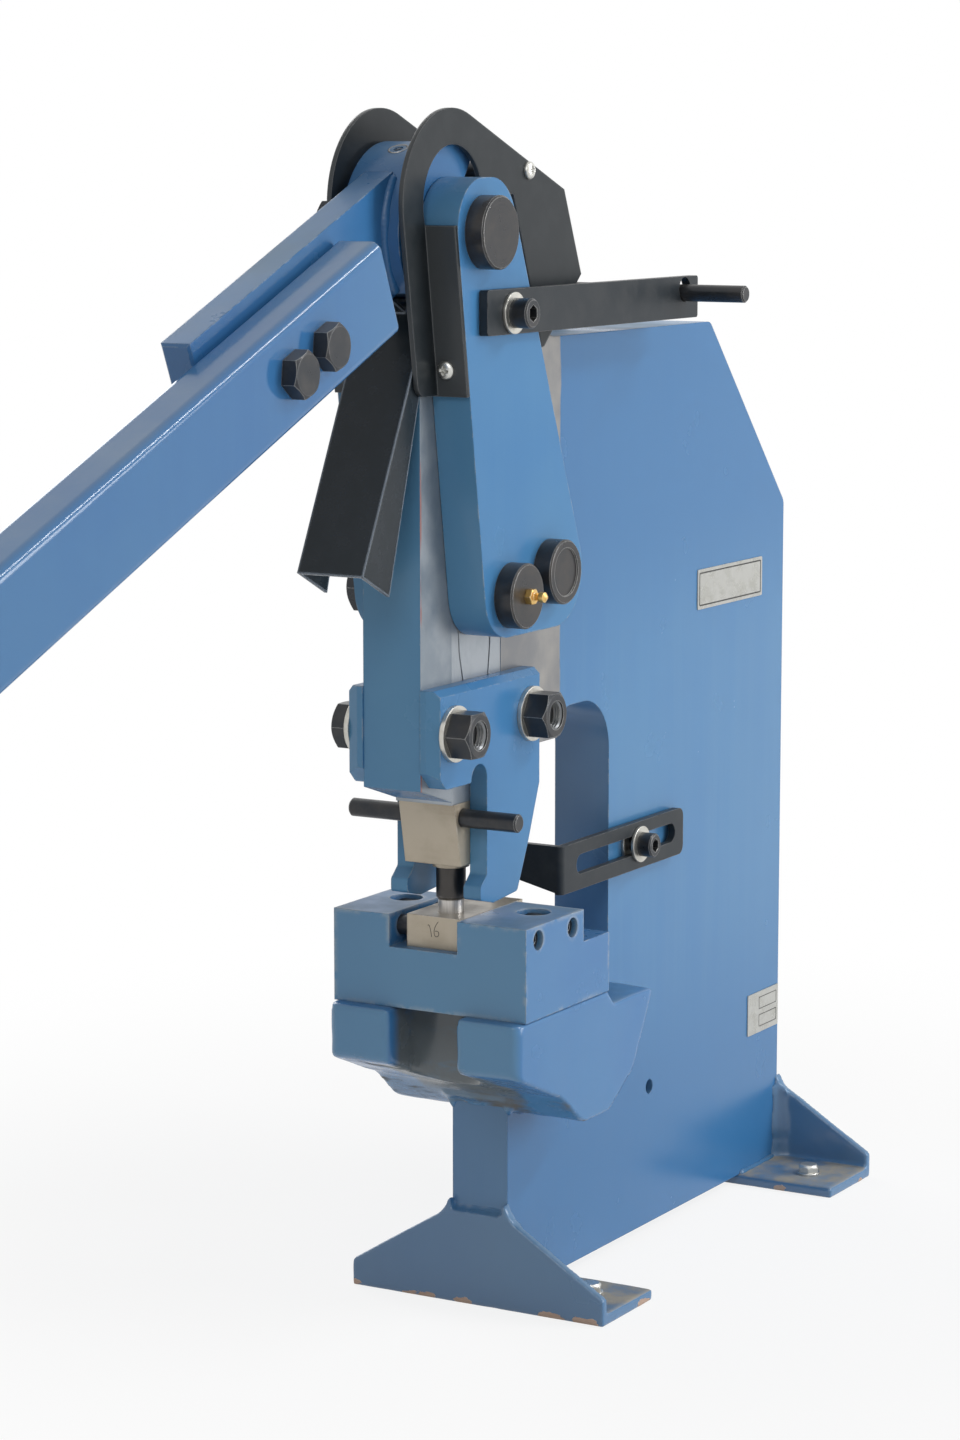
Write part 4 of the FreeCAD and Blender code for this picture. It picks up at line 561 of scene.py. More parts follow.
# edge colours are rubbed metal and also a painted highlight along the corners
blackFinishes = {
    "blackOxide": {"base": (0.027, 0.031, 0.037, 1), "brown": (0.047, 0.046, 0.047, 1),
                   "edge": (0.46, 0.46, 0.45, 1), "metal": 0.35, "gloss": 0.4, "wearAndHighlight": 0.76,
                   "peel": 0.3, "shine": (0.2, 0.42), "round": 0.0007},
    "pinOxide": {"base": (0.027, 0.030, 0.035, 1), "brown": (0.056, 0.050, 0.046, 1),
                 "edge": (0.5, 0.5, 0.49, 1), "metal": 0.4, "gloss": 0.45, "wearAndHighlight": 0.8,
                 "peel": 0.3, "shine": (0.18, 0.44), "round": 0.0009},
    "blackSheet": {"base": (0.016, 0.021, 0.025, 1), "brown": (0.022, 0.027, 0.031, 1),
                   # front is a painted reflection on the faces of the guards that look towards the
                   # front
                   "front": (0.06, 0.066, 0.07, 1), "edge": (0.20, 0.21, 0.22, 1),
                   "metal": 0.0, "gloss": 0.24, "wearAndHighlight": 0.8, "peel": 0.2, "shine": (0.24, 0.4),
                   "round": 0.0018},
    # the cover's edge colour is a painted highlight along its fold
    "coverSheet": {"base": (0.013, 0.020, 0.026, 1), "brown": (0.019, 0.026, 0.033, 1),
                   "edge": (0.42, 0.49, 0.58, 1), "metal": 0.0, "gloss": 0.22, "wearAndHighlight": 0.9,
                   "peel": 0.05, "shine": (0.16, 0.36), "round": 0.003, "width": 0.0024},
    "blackBar": {"base": (0.017, 0.023, 0.029, 1), "brown": (0.028, 0.033, 0.038, 1),
                 "edge": (0.18, 0.18, 0.18, 1), "metal": 0.0, "gloss": 0.24, "wearAndHighlight": 0.64,
                 "peel": 0.3, "shine": (0.3, 0.5), "round": 0.0009},
    "blackPlastic": {"base": (0.018, 0.018, 0.018, 1), "brown": (0.028, 0.028, 0.028, 1),
                     "edge": (0.06, 0.06, 0.06, 1), "metal": 0.0, "gloss": 0.4, "wearAndHighlight": 0.5,
                     "peel": 0.6, "shine": (0.35, 0.55), "round": 0.0012},
}


def pinRings(tree):
    # distance from the nearest of the three pivots, read as turning marks on the pin heads
    spot = objectSpot(tree)
    nearest = None
    for name in ("fulcrum_pin", "ram_pin", "top_pin"):
        middle = centre(name)
        across = addNode(tree, "ShaderNodeVectorMath", operation="MULTIPLY_ADD")
        tree.links.new(spot, across.inputs[0])
        across.inputs[1].default_value = (0, 1, 1)
        across.inputs[2].default_value = (0, -middle.y, -middle.z)
        reach = addNode(tree, "ShaderNodeVectorMath", operation="LENGTH")
        tree.links.new(across.outputs[0], reach.inputs[0])
        distance = reach.outputs["Value"]
        nearest = distance if nearest is None else mathStep(tree, "MINIMUM", nearest, distance)
    rings = addNode(tree, "ShaderNodeTexNoise", noise_dimensions="1D")
    tree.links.new(nearest, rings.inputs["W"])
    rings.inputs["Scale"].default_value = 1400.0
    return ramp(tree, rings.outputs["Fac"], 0.35, 0.75)


def makeBlack(name):
    look = blackFinishes[name]
    material, tree, shader = startMaterial(name, look["metal"], look["gloss"], look["base"])
    spot = objectSpot(tree)
    cloud = noise(tree, spot, 60.0, 5.0, 0.6)
    cloudy = ramp(tree, cloud, 0.38, 0.68)
    edge = useGroup(tree, "edgeWearAndHighlight", Width=look.get("width", 0.0008), Amount=look["wearAndHighlight"],
                    Breakup=140.0, Round=look["round"])
    upFacing = useGroup(tree, "upFacingBlotches", Amount=0.35)
    if name == "pinOxide":
        cloudy = times(tree, mathStep(tree, "ADD", cloudy, pinRings(tree)), 0.6)
    toned = mixColour(tree, cloudy, look["base"], look["brown"])
    # painted reflection: faces that look towards the front take the front colour
    if "front" in look:
        ahead = ramp(tree, faceNormal(tree)["Y"], -0.3, -0.95)
        toned = mixColour(tree, ahead, toned, look["front"])
    # edge colour: rubbed metal, and a painted highlight along the corners and the cover's fold
    rubbedAndHighlit = mixColour(tree, edge["Mask"], toned, look["edge"])
    upToned = mixColour(tree, upFacing["Mask"], rubbedAndHighlit, (0.14, 0.14, 0.13, 1))
    grain = noise(tree, spot, 900.0, 2.0)
    rough = rescale(tree, cloud, look["shine"][0], look["shine"][1])
    wireUp(tree, shader, upToned, rough, grain, look["peel"] * 0.4, 0.00008, edge["Soft"])
    return material


# Punch: blacked above, rubbed bright where it enters the plate

punchLook = {"bright": 0.2712, "black": 0.2742}


def makePunchSteel():
    material, tree, shader = startMaterial("punchSteel", 0.8, 0.5, (0.1, 0.1, 0.1, 1))
    spot = objectSpot(tree)
    xyz = splitSpot(tree, spot)
    height = mathStep(tree, "MULTIPLY_ADD", noise(tree, spot, 260.0, 4.0), 0.003, xyz["Z"])
    low = ramp(tree, height, punchLook["black"], punchLook["bright"])
    marks = useGroup(tree, "toolMarks", Stretch=(900.0, 900.0, 20.0), Stain=120.0)
    bright = mixColour(tree, marks["Marks"], (0.30, 0.28, 0.26, 1), (0.75, 0.73, 0.70, 1))
    colour = mixColour(tree, low, (0.062, 0.058, 0.055, 1), bright)
    edge = useGroup(tree, "edgeWearAndHighlight", Width=0.0006, Amount=0.5)
    wireUp(tree, shader, colour, marks["Roughness"], marks["Marks"], 0.2, 0.0001, edge["Soft"])
    return material


def makeLabelCard():
    # bare label plates: pale lacquered metal, a little dirty
    material, tree, shader = startMaterial("labelCard", 0.15, 0.5, (0.6, 0.58, 0.5, 1))
    spot = objectSpot(tree)
    cloud = noise(tree, spot, 90.0, 5.0, 0.65)
    colour = mixColour(tree, ramp(tree, cloud, 0.4, 0.75), (0.45, 0.45, 0.425, 1),
                       (0.355, 0.355, 0.32, 1))
    grain = noise(tree, stretched(tree, spot, (40.0, 40.0, 1500.0)), 1.0, 2.0)
    rough = ramp(tree, cloud, 0.0, 1.6)
    wireUp(tree, shader, colour, rough, grain, 0.1, 0.0001)
    return material


def makeMaterials():
    made = {
        "blueEnamel": makeBlueEnamel("blueEnamel", "plates", 0.26, 1.0, 0.45, 0.12),
        "armEnamel": makeBlueEnamel("armEnamel", "lever", 0.3, 1.0, 0.45, 0.12),
        "tubeEnamel": makeBlueEnamel("tubeEnamel", "lever", 0.55, 0.5, 0.24, 0.04),
        "frameEnamel": makeFrameEnamel(),
        "guideBlockEnamel": makeGuideBlockEnamel(),
        "castEnamel": makeCastEnamel(),
        "footEnamel": makeFootEnamel(),
        "holderEnamel": makeHolderEnamel(),
        "punchSteel": makePunchSteel(),
        "labelCard": makeLabelCard(),
    }
    for name in steelFinishes:
        made[name] = makeSteel(name)
    for name in blackFinishes:
        made[name] = makeBlack(name)
    return made


# Which finish each solid of the frame gets

finishOfNode = {
    "frameEnamel": ["frame_plate"],
    "castEnamel": ["bed"],
    "footEnamel": ["front_foot", "rear_foot"],
    "holderEnamel": ["die_holder"],
    "guideBlockEnamel": ["front_guide_block"],
    "blueEnamel": ["stripper_plate_right", "stripper_plate_left", "rocker_plate_right",
                   "rocker_plate_left"],
    "armEnamel": ["lever_hub"],
    "tubeEnamel": ["lever_tube"],
    "groundSteel": ["gear_sector", "sector_pins", "ram", "pressure_link"],
    "wornToolSteel": ["die", "punch_holder", "punch_collar"],
    "punchSteel": ["punch"],
    "zincPlate": ["guard_screws", "cover_screws"],
    "yellowZinc": ["clamp_washers", "bar_washers", "gauge_washers"],
    "brassFitting": ["grease_nipple"],
    "blackOxide": ["die_holder_screws", "die_set_screws", "clamp_bolts", "clamp_nuts", "gauge_screw",
                   "pin_nuts", "guard_spacer", "bar_screws", "lever_bolts", "stop_rod", "cross_rod"],
    "pinOxide": ["fulcrum_pin", "ram_pin", "top_pin"],
    "blackSheet": ["guard_right", "guard_left"],
    "coverSheet": ["finger_cover"],
    "blackBar": ["stop_bar_right", "stop_bar_left", "back_gauge"],
    "blackPlastic": ["tube_end_cap"],
}


def dressFrame(made):
    for finish, names in finishOfNode.items():
        for name in names:
            for slot in nodes[name].material_slots:
                slot.material = made[finish]


# Mesh helpers

def finishMesh(name, bm):
    mesh = bpy.data.meshes.new(name)
    bm.normal_update()
    bm.to_mesh(mesh)
    bm.free()
    return mesh


def meshPiece(name, bm, material, body):
    mesh = finishMesh(name, bm)
    piece = addObject(name, mesh)
    mesh.materials.append(material)
    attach(piece, body)
    return piece


def applyModifiers(piece):
    bpy.context.view_layer.update()
    baked = piece.evaluated_get(bpy.context.evaluated_depsgraph_get())
    mesh = bpy.data.meshes.new_from_object(baked)
    piece.modifiers.clear()
    piece.data = mesh
    return mesh


def addTube(bm, rings, closed=True):
    faces = []
    for first, second in zip(rings, rings[1:]):
        for step in range(len(first)):
            after = (step + 1) % len(first)
            faces.append(bm.faces.new((first[step], first[after], second[after], second[step])))
    if closed:
        faces += [bm.faces.new(rings[0][::-1]), bm.faces.new(rings[-1])]
    return faces


def lathe(bm, profile, matrix, steps, closed=False):
    # rings of (along, radius) about the matrix's X axis
    rings = []
    for along, radius in profile:
        ring = []
        for step in range(steps):
            turn = 2 * math.pi * step / steps
            spot = Vector((along, radius * math.cos(turn), radius * math.sin(turn)))
            ring.append(bm.verts.new(matrix @ spot))
        rings.append(ring)
    addTube(bm, rings, closed)


def loopAt(bm, x, outline):
    return [bm.verts.new((x, y, z)) for y, z in outline]


def pathPoints(corners, step):
    spots = []
    for first, second in zip(corners, corners[1:]):
        first = Vector(first)
        second = Vector(second)
        count = max(2, round((second - first).length / step))
        spots += [first.lerp(second, number / count) for number in range(count)]
    spots.append(Vector(corners[-1]))
    return spots


def smooth(piece, angle):
    for face in piece.data.polygons:
        face.use_smooth = True
    bpy.context.view_layer.objects.active = piece
    piece.data.set_sharp_from_angle(angle=math.radians(angle))


# Rough pieces get a skin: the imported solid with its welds, run together and rounded off

cutSkin = {"finish": "footEnamel", "voxel": 1.5 * mm, "smoothing": 4, "swell": 0.25 * mm,
           "lumps": ((40.0, 0.2 * mm), (110.0, 0.15 * mm)), "below": 0.0}

skins = {
    "bed": {"finish": "castEnamel", "voxel": 1.7 * mm, "smoothing": 7, "swell": 0.5 * mm,
            "lumps": ((26.0, 0.6 * mm), (75.0, 0.35 * mm)), "below": 12.0 * mm,
            "flatTop": 4.0 * mm},
    "front_foot": cutSkin,
    "rear_foot": cutSkin,
}


def makeSkin(node, fillets, made):
    look = skins[node]
    source = nodes[node]
    low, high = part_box(node)
    bm = bmesh.new()
    bm.from_mesh(source.data)
    bm.transform(source.matrix_world)
    for fillet in fillets:
        addFillet(bm, *fillet)
    skin = addObject(node + "_skin", finishMesh(node + "_skin", bm))
    remesh = skin.modifiers.new("skin", "REMESH")
    remesh.mode = "VOXEL"
    remesh.voxel_size = look["voxel"]
    relax = skin.modifiers.new("relax", "SMOOTH")
    relax.factor = 0.6
    relax.iterations = look["smoothing"]
    mesh = applyModifiers(skin)
    normals = [vertex.normal.copy() for vertex in mesh.vertices]
    spots = [vertex.co.copy() for vertex in mesh.vertices]
    topZ = high.z - look["flatTop"] if "flatTop" in look else math.inf
    for number, spot in enumerate(spots):
        lift = look["swell"]
        for scale, depth in look["lumps"]:
            lift += depth * mathNoise.noise(spot * scale)
        if spot.z < topZ:
            spot += normals[number] * lift
        mesh.vertices[number].co = (
            min(max(spot.x, low.x), high.x),
            min(max(spot.y, low.y), high.y),
            max(spot.z, low.z - look["below"]),
        )
    mesh.materials.clear()
    mesh.materials.append(made[look["finish"]])
    for face in mesh.polygons:
        face.use_smooth = True
    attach(skin, "frame")
    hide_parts(node)


# Hollow fillets where welds were ground down

filletSteps = {"arc": 6, "stride": 2.0 * mm, "buried": 2.0 * mm,
               "waver": ((90.0, 0.16), (260.0, 0.1))}


def addFillet(bm, first, last, sideA, sideB, size):
    # a hollow quarter from one face to the other, a little uneven along its length
    sideA = Vector(sideA).normalized()
    sideB = Vector(sideB).normalized()
    rows = []
    for spot in pathPoints([first, last], filletSteps["stride"]):
        reach = size
        for scale, part in filletSteps["waver"]:
            reach += size * part * mathNoise.noise(spot * scale)
        row = [bm.verts.new(spot - (sideA + sideB) * filletSteps["buried"])]
        for step in range(filletSteps["arc"] + 1):
            turn = math.pi / 2 * step / filletSteps["arc"]
            along = reach * (1 - math.sin(turn))
            across = reach * (1 - math.cos(turn))
            row.append(bm.verts.new(spot + sideA * along + sideB * across))
        rows.append(row)
    bmesh.ops.recalc_face_normals(bm, faces=addTube(bm, rows))


columnFillets = {"foot": 8.0 * mm, "side": 11.0 * mm, "bed": 10.0 * mm, "rear": 8.0 * mm,
                 "plate": 7.5 * mm, "reach": 44.0 * mm, "inset": 4.0 * mm, "past": 3.0 * mm,
                 "lap": 1.0 * mm, "flange": 6.0 * mm, "slope": 27.0}


def underBed(x, y):
    hit, spot = nodes["bed"].ray_cast((x, y, 0.06), (0, 0, 1))[:2]
    return spot.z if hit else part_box("bed")[0].z


def makeSkins(made):
    look = columnFillets
    left, right = [corner.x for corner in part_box("frame_plate")]
    footLow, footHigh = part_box("front_foot")
    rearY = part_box("rear_foot")[1].y
    front = footLow.y + look["plate"]
    back = rearY - look["plate"]
    top = footHigh.z
    under = underBed(0, front - look["inset"])
    slope = math.radians(look["slope"])
    up, down, ahead, behind = (0, 0, 1), (0, 0, -1), (0, -1, 0), (0, 1, 0)
    fillets = {
        "bed": [((left - look["past"], front, under), (right + look["past"], front, under),
                 down, ahead, look["bed"])],
        "front_foot": [((left, front, top), (right, front, top), up, ahead, look["foot"])],
        "rear_foot": [((left, back, top), (right, back, top), up, behind, look["foot"])],
    }
    for x, side in ((right, 1), (left, -1)):
        outward = (side * math.cos(slope), 0, -math.sin(slope))
        near, far = [(x, y, underBed(x + side * look["inset"], y))
                     for y in (front - look["inset"], front + look["reach"])]
        fillets["bed"].append((near, far, down, (side, 0, 0), look["bed"]))
        fillets["front_foot"].append(((x, footLow.y, top), (x, front + look["lap"], top),
                                      up, outward, look["side"]))
        fillets["rear_foot"].append(((x, back - look["lap"], top), (x, rearY, top),
                                     up, outward, look["side"]))
        fillets["rear_foot"].append(((x, back, look["flange"]), (x, back, top),
                                     ahead, (side, 0, 0), look["rear"]))
    for node, parts in fillets.items():
        makeSkin(node, parts, made)


# Weld beads, each a scalloped rope of paint-covered metal along a joint

weldBeads = {"pitch": 3.2 * mm, "sides": 10, "step": 0.8 * mm,
             "ripple": ((310.0, 0.0, 0.08), (127.0, 1.3, 0.1))}


def addWeld(name, corners, radius, made, finish="blueEnamel", body="frame"):
    spots = pathPoints(corners, weldBeads["step"])
    bm = bmesh.new()
    rings = []
    travelled = 0.0
    for number, spot in enumerate(spots):
        before = spots[max(0, number - 1)]
        after = spots[min(len(spots) - 1, number + 1)]
        along = (after - before).normalized()
        travelled += (spot - before).length
        side = along.orthogonal().normalized()
        other = along.cross(side)
        size = 0.93 + 0.07 * abs(math.sin(math.pi * travelled / weldBeads["pitch"]))
        for rate, start, depth in weldBeads["ripple"]:
            size += depth * math.sin(travelled * rate + start)
        ends = min(number, len(spots) - 1 - number) / 4
        size *= radius * min(1.0, 0.35 + ends)
        ring = []
        for step in range(weldBeads["sides"]):
            turn = 2 * math.pi * step / weldBeads["sides"]
            out = side * (size * math.cos(turn)) + other * (size * math.sin(turn))
            ring.append(bm.verts.new(spot + out))
        rings.append(ring)
    addTube(bm, rings)
    smooth(meshPiece(name, bm, made[finish], body), 60.0)


leverWeld = {"lean": 23.0, "hubRadius": 53.0 * mm, "armHalf": 9.5 * mm, "low": -17.0 * mm,
             "high": 47.0 * mm, "bead": 3.4 * mm}


def leverSpot(x, along, across):
    pin = centre("top_pin")
    turn = math.radians(leverWeld["lean"])
    return (x, pin.y - along * math.cos(turn) - across * math.sin(turn),
            pin.z - along * math.sin(turn) + across * math.cos(turn))


def makeLeverWelds(made):
    # down both sides of the arm, where it runs into the hub
    radius = leverWeld["hubRadius"]
    start = math.asin(leverWeld["low"] / radius)
    end = math.asin(leverWeld["high"] / radius)
    for label, side in (("right", 1), ("left", -1)):
        corners = []
        for step in range(13):
            turn = start + (end - start) * step / 12
            corners.append(leverSpot(side * leverWeld["armHalf"], radius * math.cos(turn),
                                     radius * math.sin(turn)))
        addWeld("lever_hub_weld_" + label, corners, leverWeld["bead"], made, "armEnamel", "lever")


# Beads on the frame: (back, down) from the bed's top rear edge, then along the feet

frameWelds = {"bed": ((1.0 * mm, 10.5 * mm), (27.7 * mm, 60.5 * mm)), "bedBead": 1.6 * mm,
              "outer": 10.0 * mm, "inner": 2.0 * mm, "flangeZ": 7.5 * mm, "flangeBead": 2.2 * mm}


def makeWelds(made):
    look = frameWelds
    left, right = [corner.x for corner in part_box("frame_plate")]
    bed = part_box("bed")[1]
    front = [corner.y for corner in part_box("front_foot")]
    rear = [corner.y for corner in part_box("rear_foot")]
    for label, x in (("right", right), ("left", left)):
        corners = [(x, bed.y - back, bed.z - down) for back, down in look["bed"]]
        addWeld("bed_weld_" + label, corners, look["bedBead"], made)
        for foot, first, last in (("front", front[0] + look["outer"], front[1] - look["inner"]),
                                  ("rear", rear[0] + look["inner"], rear[1] - look["outer"])):
            addWeld("%s_flange_weld_%s" % (foot, label),
                    [(x, y, look["flangeZ"]) for y in (first, last)],
                    look["flangeBead"], made, "footEnamel")


# Two bare label plates on the frame's right side

labelPlates = {
    "upper": {"y": (0.0626, 0.1622), "z": (0.4195, 0.4468)},
    "lower": {"y": (0.1474, 0.1962), "z": (0.1050, 0.1346)},
    "thickness": 0.8 * mm,
    "corner": 1.2 * mm,
    "raised": 0.1 * mm,
    "rim": {"inset": 2.2 * mm, "width": 0.9 * mm},
    "fields": {"start": 0.36, "end": 3.0 * mm, "apart": 2.0 * mm, "edge": 4.0 * mm,
               "width": 0.5 * mm, "corner": 0.4 * mm},
}


def roundedCorners(low, high, radius, steps=4):
    spots = []
    for centreY, centreZ, start in (
        (high[0] - radius, high[1] - radius, 0),
        (low[0] + radius, high[1] - radius, 90),
        (low[0] + radius, low[1] + radius, 180),
        (high[0] - radius, low[1] + radius, 270),
    ):
        for step in range(steps + 1):
            turn = math.radians(start + 90 * step / steps)
            spots.append((centreY + radius * math.cos(turn), centreZ + radius * math.sin(turn)))
    return spots


def addFrameLine(bm, low, high, width, face, radius):
    outer = roundedCorners(low, high, radius)
    inner = roundedCorners((low[0] + width, low[1] + width), (high[0] - width, high[1] - width),
                           radius / 2)
    raised = face + labelPlates["raised"]
    addTube(bm, [loopAt(bm, face, outer), loopAt(bm, raised, outer),
                 loopAt(bm, raised, inner), loopAt(bm, face, inner)], False)


def makeLabels(made):
    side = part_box("frame_plate")[1].x
    face = side + labelPlates["thickness"]
    corner = labelPlates["corner"]
    for name in ("upper", "lower"):
        low, high = zip(labelPlates[name]["y"], labelPlates[name]["z"])
        bm = bmesh.new()
        outline = roundedCorners(low, high, corner)
        addTube(bm, [loopAt(bm, side, outline), loopAt(bm, face, outline)])
        meshPiece(name + "_label_plate", bm, made["labelCard"], "frame")
        bm = bmesh.new()
        if name == "upper":
            rim = labelPlates["rim"]
            inset = rim["inset"]
            addFrameLine(bm, (low[0] + inset, low[1] + inset), (high[0] - inset, high[1] - inset),
                         rim["width"], face, corner)
        else:
            look = labelPlates["fields"]
            middle = (low[1] + high[1]) / 2
            left = low[0] + (high[0] - low[0]) * look["start"]
            right = high[0] - look["end"]
            for bottom, top in ((middle + look["apart"], high[1] - look["edge"]),
                                (low[1] + look["edge"], middle - look["apart"])):
                addFrameLine(bm, (left, bottom), (right, top), look["width"], face, look["corner"])
        meshPiece(name + "_label_border", bm, made["blackPlastic"], "frame")


# Pan-head screws with a cross recess

panScrew = {"radius": 5.5 * mm, "height": 3.6 * mm, "recess": 0.56, "arm": 0.17, "depth": 2.2 * mm}


def crossOutline(reach, half):
    return [
        (reach, -half), (reach, half), (half, half), (half, reach), (-half, reach), (-half, half),
        (-reach, half), (-reach, -half), (-half, -half), (-half, -reach), (half, -reach), (half, -half),
    ]


def addPanScrew(name, foot, outward, made):
    # dome and recess are built along X, then turned to face outward
    radius = panScrew["radius"]
    height = panScrew["height"]
    profile = [(0.0, radius), (height * 0.3, radius)]
    for step in range(1, 8):
        turn = step / 8 * math.pi / 2
        profile.append((height * (0.3 + 0.7 * math.sin(turn)), radius * math.cos(turn * 0.93)))
    bm = bmesh.new()
    lathe(bm, profile, Matrix.Identity(4), 32, True)
    head = meshPiece(name, bm, made["zincPlate"], "rocker")
    smooth(head, 40.0)
    recess = radius * panScrew["recess"]
    arm = radius * panScrew["arm"]
    bm = bmesh.new()
    addTube(bm, [loopAt(bm, height - panScrew["depth"], crossOutline(recess * 0.4, arm * 0.7)),
                 loopAt(bm, height + 0.6 * mm, crossOutline(recess * 1.15, arm * 1.15))])
    cutter = addObject(name + "_cutter", finishMesh(name + "_cutter", bm))
    hole = head.modifiers.new("recess", "BOOLEAN")
    hole.operation = "DIFFERENCE"
    hole.solver = "EXACT"
    hole.object = cutter
    applyModifiers(head).transform(Matrix.Translation(foot) @ facing(outward))
    bpy.data.objects.remove(cutter)
    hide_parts("guard_screws")


# Where the guards' screws sit: on the spacer, and on the front face, which leans

guardScrews = {"sheet": 3.0 * mm, "slope": -40.4 / 276.5, "faceFoot": (-0.2675, 0.4375),
               "frontZ": 0.602, "proud": 3.2 * mm}


def makeScrews(made):
    rear = centre("guard_spacer")
    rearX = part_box("guard_spacer")[1].x + guardScrews["sheet"]
    frontX = centre("rocker_plate_right").x
    lean = math.atan(guardScrews["slope"])
    outward = Vector((0, -math.cos(lean), math.sin(lean)))
    footY, footZ = guardScrews["faceFoot"]
    rise = guardScrews["frontZ"] - footZ
    front = Vector((0, footY + guardScrews["slope"] * rise, guardScrews["frontZ"]))
    front += outward * guardScrews["proud"]
    for label, side in (("right", 1), ("left", -1)):
        addPanScrew("guard_rear_screw_" + label, (side * rearX, rear.y, rear.z), (side, 0, 0), made)
        addPanScrew("guard_front_screw_" + label, (side * frontX, front.y, front.z), outward, made)


# Threads that show in the open ends of the clamp nuts

nutThread = {"pitch": 1.9 * mm, "crest": 7.6 * mm, "root": 8.9 * mm, "depth": 6.2 * mm,
             "lip": 0.25 * mm, "chamfer": 1.1 * mm}


def makeNutThreads(made):
    look = nutThread
    low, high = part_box("clamp_nuts")
    corner = (high.z - low.z) / math.sqrt(3)
    for label, y in (("front", low.y + corner), ("rear", high.y - corner)):
        along = high.x - look["lip"] - look["chamfer"]
        profile = [(along + look["chamfer"], look["root"] + look["chamfer"]), (along, look["root"])]
        for number in range(2 * int(look["depth"] / look["pitch"])):
            along -= look["pitch"] / 2
            profile.append((along, look["root" if number % 2 else "crest"]))
        profile.append((along, 0.0001))
        bm = bmesh.new()
        lathe(bm, profile[::-1], Matrix.Translation((0, y, (low.z + high.z) / 2)), 48)
        ring = meshPiece("nut_thread_" + label, bm, made["threadSteel"], "frame")
        smooth(ring, 20.0)


# Worn countersink round the oil hole on the hub

oilHole = {"hub": 53.0 * mm, "inner": 3.0 * mm, "outer": 5.6 * mm, "lift": 0.25 * mm}


def makeOilHole(made):
    lean = math.radians(leverWeld["lean"])
    turn = facing((0, -math.sin(lean), math.cos(lean)))
    inner, outer, lift = oilHole["inner"], oilHole["outer"], oilHole["lift"]
    profile = [(-0.003, 0.0001), (-0.003, inner), (-0.0012, inner), (lift, outer),
               (lift * 0.6, outer + 0.0006), (-0.0008, outer + 0.0009)]
    bm = bmesh.new()
    lathe(bm, profile, Matrix.Translation(leverSpot(0, 0, oilHole["hub"])) @ turn, 40)
    smooth(meshPiece("oil_hole_rim", bm, made["threadSteel"], "lever"), 30.0)


# Number scribed by hand on the front of the die

dieMark = {
    "strokes": [
        [(-0.0049, 0.2560), (-0.0036, 0.2580), (-0.0022, 0.2490)],
        [(0.0026, 0.2590), (0.0004, 0.2563), (-0.0007, 0.2520), (0.0003, 0.2494),
         (0.0022, 0.2494), (0.0032, 0.2513), (0.0022, 0.2533), (0.0002, 0.2528)],
    ],
    "width": 0.00034,
}


def makeDieMark(made):
    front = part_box("die")[0].y
    for number, stroke in enumerate(dieMark["strokes"]):
        name = "die_mark_%d" % (number + 1)
        data = bpy.data.curves.new(name, "CURVE")
        data.dimensions = "3D"
        data.bevel_depth = dieMark["width"]
        data.bevel_resolution = 2
        line = data.splines.new("NURBS")
        line.points.add(len(stroke) - 1)
        for point, (x, z) in zip(line.points, stroke):
            point.co = (x, front + dieMark["width"] * 0.75, z, 1)
        line.order_u = 3
        line.use_endpoint_u = True
        data.materials.append(made["blackPlastic"])
        piece = addObject(name, data)
        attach(piece, "frame")


# Small hexagon screws that hold the feet down

footScrews = {"flats": 13.0 * mm, "height": 5.5 * mm, "washer": 8.0 * mm, "washerHeight": 1.6 * mm,
              "inset": 40.0 * mm, "apart": 62.0 * mm, "flangeTop": 7.0 * mm, "turn": 0.4}


def makeFootScrews(made):
    look = footScrews
    zinc = made["zincPlate"]
    flat = look["flats"] / 2
    corner = look["flats"] / math.sqrt(3)
    shoulder = look["height"] * 0.72
    for row, y in (("front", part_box("front_foot")[0].y + look["inset"]),
                   ("rear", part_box("rear_foot")[1].y - look["inset"])):
        for label, side in (("right", 1), ("left", -1)):
            upright = facing((0, 0, 1)) @ Matrix.Rotation(look["turn"] * side, 4, "X")
            spot = Vector((side * look["apart"], y, look["flangeTop"]))
            bm = bmesh.new()
            lathe(bm, [(0.0, look["washer"]), (look["washerHeight"], look["washer"])],
                  Matrix.Translation(spot) @ upright, 32, True)
            meshPiece(row + "_foot_washer_" + label, bm, zinc, "frame")
            spot.z += look["washerHeight"]
            place = Matrix.Translation(spot) @ upright
            bm = bmesh.new()
            lathe(bm, [(0.0, corner), (shoulder, corner)], place, 6, True)
            lathe(bm, [(shoulder, flat * 1.06), (look["height"], flat * 0.9)], place, 24, True)
            meshPiece(row + "_foot_screw_" + label, bm, zinc, "frame")


# Floor, lamps and world

studio = {
    "floorSize": 12.0,
    "floorZ": -0.4 * mm,
    "floorColour": (0.84, 0.84, 0.84, 1),
    "floorGlow": 0.84,
    "whiteFrom": 0.3,
    "whiteTo": 0.95,
    "skyStrength": 0.34,
    "lamps": [
        {"name": "keyLamp", "place": (2.4, 0.95, 0.85), "size": (1.3, 1.3), "power": 34.0},
        {"name": "windowLamp", "place": (2.0, 1.0, 2.5), "size": (1.7, 0.18), "power": 24.0},
        {"name": "frontLamp", "place": (0.75, -2.1, 1.75), "size": (0.9, 0.9), "power": 9.5},
        {"name": "leftLamp", "place": (-2.7, 1.3, 1.7), "size": (1.8, 1.8), "power": 34.0},
    ],
    "aim": (0.0, 0.0, 0.35),
}


def seenRays(tree):
    path = addNode(tree, "ShaderNodeLightPath")
    glassy = mathStep(tree, "MAXIMUM", path.outputs["Is Glossy Ray"],
                      path.outputs["Is Transmission Ray"])
    return mathStep(tree, "MAXIMUM", path.outputs["Is Camera Ray"], glassy)


